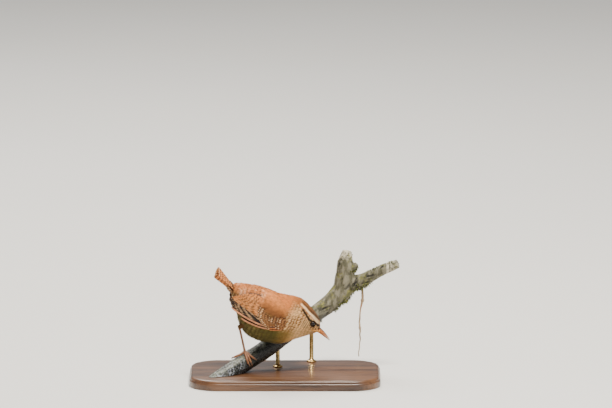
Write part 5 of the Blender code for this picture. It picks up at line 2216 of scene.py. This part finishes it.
@dataclass
class Perch:
    """The branch with its broken fork, bark relief, moss and hanging rootlet."""

    form: BranchForm
    floor: float = 7.3
    far: float = 47.9
    voxel: float = 0.45

    def build(self, bark: bpy.types.Material, moss: bpy.types.Material,
              root: bpy.types.Material) -> None:
        """Fuse the limbs, raise the bark, hang the rootlet and root the moss.

        Args:
            bark: The branch's finish.
            moss: The moss's.
            root: The rootlet's.
        """
        draft = Draft()
        for rows, steps, columns in ((self.form.trunk, 60, 32), (self.form.arm, 30, 28),
                                     (self.form.spur, 10, 20)):
            path, radius = smooth_path(rows, steps)
            rings, _ = tube_rings(path, radius, columns, up=(0.2, -1.0, 0.3))
            draft.add_loft(rings[None])
        points, faces, normals = fuse(draft, self.voxel, 2)
        run = np.array([0.73, 0.55, 0.41])
        local = points + run * (points @ run)[:, None] * -0.72
        ridge = 1 - np.abs(noise(local, 1.9, 61)) * 2
        height = 0.18 * ridge + 0.3 * rough(local, 4.0, 4, 62) + 0.12 * rough(points, 1.0, 2, 63)
        blister = ease(0.05, 0.55, noise(points, 1.5, 65)) * (1 - ease(-30.0, -20.0, points[:, 0]))
        knots = noise(points, 9.0, 64)
        height = height + 0.25 * blister + 0.3 * ease(0.35, 0.75, knots)
        limit = ease(self.far - 1.5, self.far, points[:, 1])
        points = points + normals * ((height - 0.22) * (1 - limit))[:, None]
        points[:, 1] = np.minimum(points[:, 1], self.far)
        faces, rim = self.cut_flat(points, faces)
        made = Draft()
        made.add(points, [faces, rim], lie=np.column_stack([ridge, height, knots]))
        made.finish("branch", bark, Slot.BARK, ("perch",))
        self.hang_rootlet(root)
        self.grow_moss(points, point_normals(points, faces), moss)

    def cut_flat(self, points: Array, faces: Array) -> tuple[Array, Array]:
        """Drop what lies under the cut, level the rim and close it with a fan.

        Args:
            points: Points of the bark, changed in place.
            faces: Its quads.

        Returns:
            The quads that stay, and the fan's triangles.
        """
        kept = faces[(points[faces, 2] > self.floor).any(axis=1)]
        points[:, 2] = np.maximum(points[:, 2], self.floor)
        pairs = np.stack([kept, np.roll(kept, -1, axis=1)], axis=-1).reshape(-1, 2)
        known = set(map(tuple, pairs.tolist()))
        rim = np.array([pair for pair in pairs.tolist() if (pair[1], pair[0]) not in known])
        rim = rim[points[rim[:, 0], 2] < self.floor + 0.01]
        middle = points[rim[:, 0]].mean(axis=0)
        spare = np.setdiff1d(np.arange(len(points)), kept)[0]
        points[spare] = middle
        return kept, np.column_stack([rim[:, ::-1], np.full(len(rim), spare)])

    def hang_rootlet(self, bark: bpy.types.Material) -> None:
        """The thin rootlet with its swellings."""
        path, radius = smooth_path(self.form.rootlet, 90)
        sway = np.stack([noise(path, 3.0, 71), noise(path, 3.0, 72), 0 * radius], axis=-1)
        path = path + sway * 0.35 * ease(0.0, 0.2, np.linspace(0, 1, 90))[:, None]
        knot = 0.45 * np.exp(-((path[:, 2] - 48.2) / 0.9) ** 2)
        knot = knot + 0.3 * np.exp(-((path[:, 2] - 29.0) / 0.7) ** 2)
        swell = radius * (1.12 + 0.16 * noise(path, 1.6, 73)) + knot
        rings, _ = tube_rings(path, swell, 10, up=(0.0, -1.0, 0.0))
        draft = Draft()
        draft.add_loft(rings[None], lie=np.zeros((1, 90, 10, 3)))
        draft.finish("rootlet", bark, Slot.BARK)

    def grow_moss(self, points: Array, normals: Array, moss: bpy.types.Material) -> None:
        """Tufts of moss under the trunk and round the fork.

        Args:
            points: Points of the bark.
            normals: Their normals.
            moss: The finish.
        """
        draws = np.random.default_rng(81)
        x, z = points[:, 0], points[:, 2]
        under = ease(-0.1, 0.6, -normals[:, 2]) * ease(14.0, 24.0, x) * (1 - ease(40.0, 46.0, x))
        fork = ease(40.0, 46.0, x) * (1 - ease(56.0, 62.0, x)) * ease(-0.2, 0.5, -normals[:, 2])
        over = ease(0.3, 0.8, normals[:, 2]) * ease(46.0, 52.0, x) * 0.5
        chance = (0.9 * under + 0.8 * fork + over) * ease(0.0, 0.4, noise(points, 4.0, 82))
        chance = chance * (points[:, 1] < self.far - 3.0)
        chosen = draws.random(len(points)) < chance * 0.3
        root, up = points[chosen], normals[chosen]
        count = len(root)
        lean = unit(up + 0.5 * draws.normal(size=(count, 3)))
        shape = TuftShape(strips=5, rows=3, split=0.2, ragged=0.4, cup=0.3, root_width=0.3)
        length = 0.9 + 1.0 * draws.random(count) + 0.6 * ease(0.2, 0.8, -up[:, 2])
        shares = np.linspace(0.0, 1.0, 3)
        centre = root[:, None] - up[:, None] * 0.15 + lean[:, None] * (length[:, None] * shares)[..., None]
        centre[..., 2] -= 0.35 * (length[:, None] * shares**2)
        beside = unit(np.cross(lean, draws.normal(size=(count, 3))))
        normal = np.repeat(beside[:, None], 3, axis=1)
        tufts, along, across = shape.build(centre, normal, 0.9 + 0.6 * draws.random(count), draws)
        pick = draws.random(count)[:, None]
        draft = Draft()
        draft.add_batch(tufts, [shape.faces], lie=lie_values(along, across, pick))
        draft.finish("moss", moss, Slot.BARK)
        log.info("moss: %d tufts", count)


@dataclass
class Stand:
    """The wooden base with a moulded edge, and the two brass rods with their collars."""

    branch: BranchForm
    length: float = 130.0
    width: float = 78.0
    height: float = 7.0
    corner: float = 20.0
    rod_radius: float = 1.4
    rod_depth: float = 3.0
    rods: tuple[tuple[str, float], ...] = (("stand_rod_low", -6.0), ("stand_rod_high", 17.0))
    # Inset and height of the moulded edge from the underside to the top.
    edge: Table = ((0.5, 0.0), (0.1, 0.12), (0.0, 0.5), (0.0, 4.0), (0.12, 4.5), (0.55, 4.75),
                   (0.62, 4.95), (0.7, 5.5), (1.0, 6.2), (1.6, 6.7), (2.4, 6.93), (3.2, 7.0))

    # Radius of the rod's collar and height over the base.
    collar: Table = ((3.1, 0.02), (3.3, 0.2), (3.3, 0.7), (3.1, 0.95), (2.3, 1.1), (1.9, 1.5),
                     (1.75, 1.9))
    quarter: int = 36

    def outline(self, inset: float) -> Array:
        """A rounded rectangle, drawn in by an inset."""
        bend = np.linspace(0.0, math.pi / 2, self.quarter)
        parts = []
        for number, (x_side, y_side) in enumerate(((1, 1), (-1, 1), (-1, -1), (1, -1))):
            angle = bend + number * math.pi / 2
            reach = self.corner - inset
            parts.append(np.stack([x_side * (self.length / 2 - self.corner) + reach * np.cos(angle),
                                   y_side * (self.width / 2 - self.corner) + reach * np.sin(angle)],
                                  axis=-1))
        return np.concatenate(parts)

    def build(self, wood: bpy.types.Material, brass: bpy.types.Material) -> None:
        """Make the base and the rods."""
        rings = np.stack([np.column_stack([self.outline(inset), np.full(4 * self.quarter, height)])
                          for inset, height in self.edge])
        draft = Draft()
        draft.add_loft(rings[None])
        draft.finish("base_board", wood, Slot.WOOD, ("stand_base",))
        for name, place in self.rods:
            top = self.branch.point(place, 180.0, -self.rod_depth)
            profile = np.array([(self.rod_radius * 0.6, self.height + 0.02),
                                *((radius, self.height + rise) for radius, rise in self.collar),
                                (self.rod_radius, self.height + 2.1), (self.rod_radius, top[2] - 1.0),
                                (self.rod_radius, top[2] - 0.3), (self.rod_radius * 0.7, top[2])])
            angle = turns(36)
            rings = np.stack([top[0] + profile[:, :1] * np.cos(angle),
                              top[1] + profile[:, :1] * np.sin(angle),
                              profile[:, 1:] + 0 * angle], axis=-1)
            draft = Draft()
            draft.add_loft(rings[None])
            draft.finish(name.replace("stand_rod", "rod"), brass, Slot.BRASS, (name,))


class Finishes:
    """The other finishes, one method each."""

    @staticmethod
    def eye() -> bpy.types.Material:
        """A wet dark-brown eye with a black pupil."""
        finish = Finish("wet_eye", Roughness=0.1, Specular_IOR_Level=0.25, Coat_Weight=0.25,
                        Coat_Roughness=0.03)
        pupil = finish.wiring.ramp(finish.lie()[0], 0.16, 0.19)
        iris = finish.mottled((0.012, 0.005, 0.002), (0.035, 0.014, 0.005), 2400.0)["Colour"]
        finish.colour(finish.wiring.blend(pupil, (0.002, 0.002, 0.002), iris))
        return finish.material

    @staticmethod
    def lid() -> bpy.types.Material:
        """Dark, dry skin of the lids."""
        finish = Finish("lid_skin", Roughness=0.85, Specular_IOR_Level=0.1)
        made = finish.mottled((0.012, 0.007, 0.004), (0.05, 0.03, 0.016), 1800.0)
        finish.colour(made["Colour"])
        finish.relief(made["Mask"], 0.00006)
        return finish.material

    @staticmethod
    def bill() -> bpy.types.Material:
        """Horn: grey-brown ridge, orange sides and a pale tip, with fine length-wise grain."""
        finish = Finish("bill_horn_layers", Coat_Weight=0.35, Coat_Roughness=0.25)
        wiring = finish.wiring
        parts = finish.lie()
        stretched = wiring.stretch(finish.place, (0.3, 1.0, 0.3))
        sides = finish.mottled((0.6, 0.2, 0.03), (0.42, 0.12, 0.02), 700.0,
                               stretched)
        tip = wiring.ramp(parts[0], 0.5, 0.95)
        colour = wiring.blend(tip, sides["Colour"], (0.52, 0.33, 0.2))
        upper = wiring.ramp(parts[2], 0.0, 1.0)
        ridge = wiring.math("MULTIPLY", wiring.ramp(parts[1], 0.62, 0.93), upper)
        fade = wiring.math("SUBTRACT", 1.0, wiring.math("MULTIPLY", tip, 0.75))
        ridge = wiring.math("MULTIPLY", ridge, fade)
        colour = wiring.blend(ridge, colour, (0.085, 0.065, 0.055))
        finish.colour(colour)
        grain = wiring.noise(wiring.stretch(finish.place, (0.25, 1.0, 0.25)), 5000.0, 3.0)
        finish.roughness(wiring.ramp(grain, 0.2, 0.8, 0.26, 0.48))
        finish.relief(grain, 0.00004, 0.5)
        return finish.material

    @staticmethod
    def gape() -> bpy.types.Material:
        """Soft yellow-orange skin at the corner of the mouth."""
        finish = Finish("gape_skin", Roughness=0.45, Subsurface_Weight=0.15, Subsurface_Scale=0.0006)
        made = finish.mottled((0.6, 0.22, 0.03), (0.72, 0.36, 0.08), 900.0)
        finish.colour(made["Colour"])
        finish.relief(made["Mask"], 0.00005)
        return finish.material

    @staticmethod
    def leg() -> bpy.types.Material:
        """Red-brown scaly skin, darker at the scutes' edges."""
        finish = Finish("scaly_leg", Coat_Weight=0.15, Coat_Roughness=0.35)
        wiring = finish.wiring
        parts = finish.lie()
        base = finish.mottled((0.17, 0.06, 0.022), (0.3, 0.125, 0.05), 800.0)
        seam = wiring.ramp(parts[2], 0.8, 0.97)
        colour = wiring.blend(wiring.math("MULTIPLY", seam, 0.6), base["Colour"], (0.12, 0.045, 0.02))
        finish.colour(colour)
        grain = wiring.noise(finish.place, 4200.0, 4.0)
        finish.roughness(wiring.ramp(grain, 0.2, 0.8, 0.38, 0.6))
        finish.relief(grain, 0.00006, 0.6)
        return finish.material

    @staticmethod
    def claw() -> bpy.types.Material:
        """Dark horn of the claws."""
        finish = Finish("claw_horn", Coat_Weight=0.3, Coat_Roughness=0.2)
        made = finish.mottled((0.1, 0.05, 0.03), (0.24, 0.13, 0.07), 1300.0)
        finish.colour(made["Colour"])
        finish.roughness(finish.wiring.ramp(made["Mask"], 0.0, 1.0, 0.25, 0.45))
        finish.relief(made["Mask"], 0.00004, 0.4)
        return finish.material

    @staticmethod
    def bark() -> bpy.types.Material:
        """Wet charcoal bark low down, dry grey-brown with lichen higher up and on top; low down, pale
        flecks partly of lichen and partly painted glints, a painted highlight where it faces up, and
        painted shade in the hollows.
        """
        finish = Finish("wet_bark")
        wiring = finish.wiring
        place = finish.place
        parts = wiring.parts(place)
        relief = finish.lie()
        wet = finish.mottled((0.006, 0.008, 0.008), (0.03, 0.032, 0.028), 320.0)
        # Pale blue-grey flecks low down: partly pale lichen scales, partly painted glints of the wet bark.
        lichen_and_glint_flecks = wiring.ramp(wiring.noise(place, 620.0, 3.0), 0.5, 0.6)
        lichen_and_glint_flecks = wiring.math("MULTIPLY", lichen_and_glint_flecks, wiring.ramp(parts[0], -0.024, -0.036, 0.0, 0.8))
        low = wiring.blend(lichen_and_glint_flecks, wet["Colour"], (0.32, 0.35, 0.4))
        # Painted highlight: the wet bark turns pale grey-green where its normal faces up.
        normal = wiring.node("ShaderNodeNewGeometry").outputs["Normal"]
        crown = wiring.ramp(wiring.parts(normal)[2], 0.45, 0.95)
        crown = wiring.math("MULTIPLY", crown, wiring.ramp(wiring.noise(place, 260.0, 4.0), 0.3, 0.6))
        low = wiring.blend(wiring.math("MULTIPLY", crown, 0.7), low, (0.2, 0.21, 0.15))
        long_grain = wiring.stretch(place, (1.0, 1.0, 0.3), (0.0, 0.5, 0.0))
        dry = finish.mottled((0.085, 0.08, 0.045), (0.24, 0.22, 0.15), 420.0,
                             long_grain)
        green = finish.mottled((0.07, 0.085, 0.012), (0.26, 0.24, 0.05), 600.0)
        edge = wiring.math("MULTIPLY_ADD", wiring.noise(place, 130.0, 4.0), 0.03, parts[2])
        high = wiring.ramp(edge, 0.046, 0.062)
        colour = wiring.blend(high, low, dry["Colour"])
        lichen = wiring.ramp(wiring.noise(place, 150.0, 5.0), 0.54, 0.64)
        colour = wiring.blend(wiring.math("MULTIPLY", lichen, wiring.math("MULTIPLY", high, 0.7)), colour,
                              green["Colour"])
        broken = wiring.ramp(wiring.math("MULTIPLY_ADD", wiring.noise(place, 300.0, 4.0), 0.016, parts[2]),
                             0.083, 0.088)
        ring = wiring.math("COMPARE", parts[0], 0.0703, 0.0009)
        tip = wiring.ramp(parts[0], 0.0704, 0.0716, 0.0, 0.5)
        patches = wiring.ramp(wiring.noise(place, 420.0, 4.0), 0.42, 0.56)
        pale = wiring.math("MULTIPLY", wiring.math("MAXIMUM", broken, tip), patches)
        pale = wiring.math("MAXIMUM", pale, ring)
        colour = wiring.blend(pale, colour, (0.62, 0.56, 0.42))
        # Painted shade: the bark turns near black in the low hollows of its relief.
        hollow_shade = wiring.ramp(relief[1], -0.22, 0.06)
        colour = wiring.blend(wiring.math("SUBTRACT", 1.0, hollow_shade), colour, (0.012, 0.011, 0.008))
        finish.colour(colour)
        grain = wiring.noise(place, 1500.0, 6.0, 0.65)
        gloss = wiring.ramp(grain, 0.3, 0.7, 0.12, 0.42)
        matt = wiring.ramp(grain, 0.3, 0.7, 0.8, 0.95)
        dryness = wiring.math("MULTIPLY", wiring.math("SUBTRACT", matt, gloss), high)
        finish.roughness(wiring.math("ADD", gloss, dryness))
        finish.relief(grain, 0.0005, 1.0)
        return finish.material

    @staticmethod
    def rootlet() -> bpy.types.Material:
        """Tan fibre with red-brown swellings and a pale end."""
        finish = Finish("rootlet_fibre", Roughness=0.6)
        wiring = finish.wiring
        parts = wiring.parts(finish.place)
        made = finish.mottled((0.3, 0.19, 0.1), (0.5, 0.36, 0.22), 700.0,
                              wiring.stretch(finish.place, (1.0, 1.0, 0.35)))
        red = wiring.ramp(wiring.noise(wiring.stretch(finish.place, (0.2, 0.2, 1.0)), 120.0), 0.5, 0.62)
        colour = wiring.blend(wiring.math("MULTIPLY", red, 0.7), made["Colour"], (0.42, 0.15, 0.06))
        colour = wiring.blend(wiring.ramp(parts[2], 0.022, 0.014), colour, (0.62, 0.53, 0.4))
        finish.colour(colour)
        finish.relief(made["Mask"], 0.00008, 0.6)
        return finish.material

    @staticmethod
    def moss() -> bpy.types.Material:
        """Yellow-green moss, darker at the root."""
        finish = Finish("moss_leaf", Roughness=0.8, Sheen_Weight=0.2)
        wiring = finish.wiring
        parts = finish.lie()
        fresh = wiring.blend(parts[2], (0.13, 0.17, 0.02), (0.34, 0.33, 0.06))
        colour = wiring.blend(wiring.ramp(parts[0], 0.1, 0.8), (0.03, 0.035, 0.008), fresh)
        made = finish.mottled((0.75, 0.75, 0.75), (1.0, 1.0, 1.0), 500.0)
        finish.colour(wiring.blend(1.0, colour, made["Colour"], "MULTIPLY"))
        return finish.material

    @staticmethod
    def wood() -> bpy.types.Material:
        """Dark polished hardwood with long grain and pores."""
        finish = Finish("dark_hardwood", Coat_Weight=0.35, Coat_Roughness=0.18)
        wiring = finish.wiring
        long_grain = wiring.stretch(finish.place, (6.0, 90.0, 40.0))
        rings = wiring.noise(long_grain, 1.4, 6.0, 0.6)
        pores = wiring.noise(wiring.stretch(finish.place, (60.0, 1600.0, 600.0)), 1.0, 3.0)
        colour = wiring.blend(wiring.ramp(rings, 0.32, 0.68), (0.045, 0.018, 0.008),
                              (0.17, 0.075, 0.03))
        colour = wiring.blend(wiring.ramp(pores, 0.56, 0.66, 0.0, 0.6), colour, (0.02, 0.008, 0.004))
        finish.colour(colour)
        finish.roughness(wiring.ramp(pores, 0.3, 0.7, 0.28, 0.5))
        finish.relief(pores, 0.00008, 0.35)
        return finish.material

    @staticmethod
    def brass() -> bpy.types.Material:
        """Brushed brass, a little tarnished."""
        finish = Finish("brushed_brass", Metallic=1.0)
        wiring = finish.wiring
        brushed = wiring.noise(wiring.stretch(finish.place, (500.0, 500.0, 9000.0)), 1.0, 2.0)
        tarnish = finish.mottled((0.72, 0.5, 0.2), (0.45, 0.28, 0.1), 260.0)
        finish.colour(tarnish["Colour"])
        finish.roughness(wiring.ramp(brushed, 0.3, 0.7, 0.2, 0.38))
        finish.relief(brushed, 0.00002, 0.4)
        return finish.material

    @staticmethod
    def floor() -> bpy.types.Material:
        """Plain pale backing, very slightly uneven."""
        finish = Finish("pale_floor", Roughness=0.85)
        cloud = finish.wiring.noise(finish.place, 3.0, 2.0)
        colour = finish.wiring.blend(cloud, (0.74, 0.73, 0.7), (0.78, 0.77, 0.745))
        finish.colour(colour)
        return finish.material


@dataclass(frozen=True)
class Lamp:
    """A soft square light.

    Args:
        name: Its name.
        place: Where it hangs, in metres.
        energy: Its power in watts.
        size: The square's edge.
        colour: The colour of its light.
    """

    name: str
    place: tuple[float, float, float]
    energy: float
    size: float
    colour: Colour

    def hang(self, target: Vector) -> None:
        """Add the light and turn it to the target."""
        lamp = bpy.data.lights.new(self.name, "AREA")
        lamp.energy = self.energy
        lamp.size = self.size
        lamp.color = self.colour
        hung = bpy.data.objects.new(self.name, lamp)
        hung.location = self.place
        hung.rotation_euler = (target - Vector(self.place)).to_track_quat("-Z", "Y").to_euler()
        bpy.context.scene.collection.objects.link(hung)


@dataclass
class Studio:
    """Floor, soft lights and the camera at the photo's angle, in metres."""

    lens: float = 500.0
    sensor: float = 36.0
    frame_width: float = 0.41616
    target: tuple[float, float, float] = (0.01428, 0.0, 0.1222)
    elevation: float = math.radians(10.0)
    floor_reach: float = 20.0
    lit: tuple[float, float, float] = (0.0, 0.0, 0.045)
    sky: tuple[float, float, float, float] = (0.82, 0.86, 0.92, 1.0)
    sky_strength: float = 0.28
    lamps: tuple[Lamp, ...] = (
        Lamp("key", (0.25, -0.5, 1.5), 52.0, 0.42, (1.0, 0.94, 0.84)),
        Lamp("fill", (1.0, -1.5, 0.55), 4.0, 1.1, (0.94, 0.96, 1.0)),
        Lamp("back", (-0.3, 1.0, 1.3), 26.0, 0.7, (1.0, 0.96, 0.9)),
    )

    def build(self, material: bpy.types.Material) -> None:
        """Lay the floor, hang the lights and set the camera."""
        self.lay_floor(material)
        for lamp in self.lamps:
            lamp.hang(Vector(self.lit))
        world = bpy.data.worlds.new("studio")
        world.use_nodes = True
        ground = world.node_tree.nodes["Background"]
        ground.inputs["Color"].default_value = self.sky
        ground.inputs["Strength"].default_value = self.sky_strength
        bpy.context.scene.world = world
        self.set_camera()

    def lay_floor(self, material: bpy.types.Material) -> None:
        """A wide plain sheet under the base."""
        reach = self.floor_reach
        mesh = bpy.data.meshes.new("floor")
        corners = [(-reach, -reach, 0.0), (reach, -reach, 0.0), (reach, reach, 0.0), (-reach, reach, 0.0)]
        mesh.from_pydata(corners, [], [(0, 1, 2, 3)])
        mesh.materials.append(material)
        floor = bpy.data.objects.new("floor", mesh)
        bpy.context.scene.collection.objects.link(floor)

    def set_camera(self) -> None:
        """A long lens whose frame spans frame_width at the target."""
        camera = bpy.data.cameras.new("camera")
        camera.lens = self.lens
        camera.sensor_width = self.sensor
        camera.clip_end = 20.0
        held = bpy.data.objects.new("camera", camera)
        distance = self.frame_width * self.lens / self.sensor
        held.location = (self.target[0], self.target[1] - distance * math.cos(self.elevation),
                         self.target[2] + distance * math.sin(self.elevation))
        held.rotation_euler = (math.pi / 2 - self.elevation, 0.0, 0.0)
        bpy.context.scene.collection.objects.link(held)
        bpy.context.scene.camera = held


def main() -> None:
    """Build every sub-assembly in order and report it."""
    logging.basicConfig(level=logging.INFO, format="%(name)s: %(message)s")
    form = BodyForm()
    wing = WingForm(form)
    tail = TailForm()
    branch = BranchForm()
    place = Place(form)
    plumage = Plumage(form)
    small = FeatherFinish("small_feathers", 70.0, 0.34, 0.78, 0.00006).build()
    large = FeatherFinish("large_feathers", 110.0, 0.22, 0.6, 0.00005).build()
    Studio().build(Finishes.floor())
    skin = Skin(form, plumage)
    skin.build(small)
    log.info("skin done")
    coat = Coat(form, wing, branch, place, plumage)
    coat.build(small)
    coat.thighs(skin, small)
    Wings(wing).build(large)
    Tail(tail).build(large)
    log.info("wings and tail done")
    Eyes(place).build(Finishes.eye(), Finishes.lid())
    Bill(place).build(Finishes.bill(), Finishes.gape())
    Legs(branch).build(Finishes.leg(), Finishes.claw())
    Perch(branch).build(Finishes.bark(), Finishes.moss(), Finishes.rootlet())
    Stand(branch).build(Finishes.wood(), Finishes.brass())
    log.info("head, legs, perch and stand done")


if __name__ == "__main__":
    main()
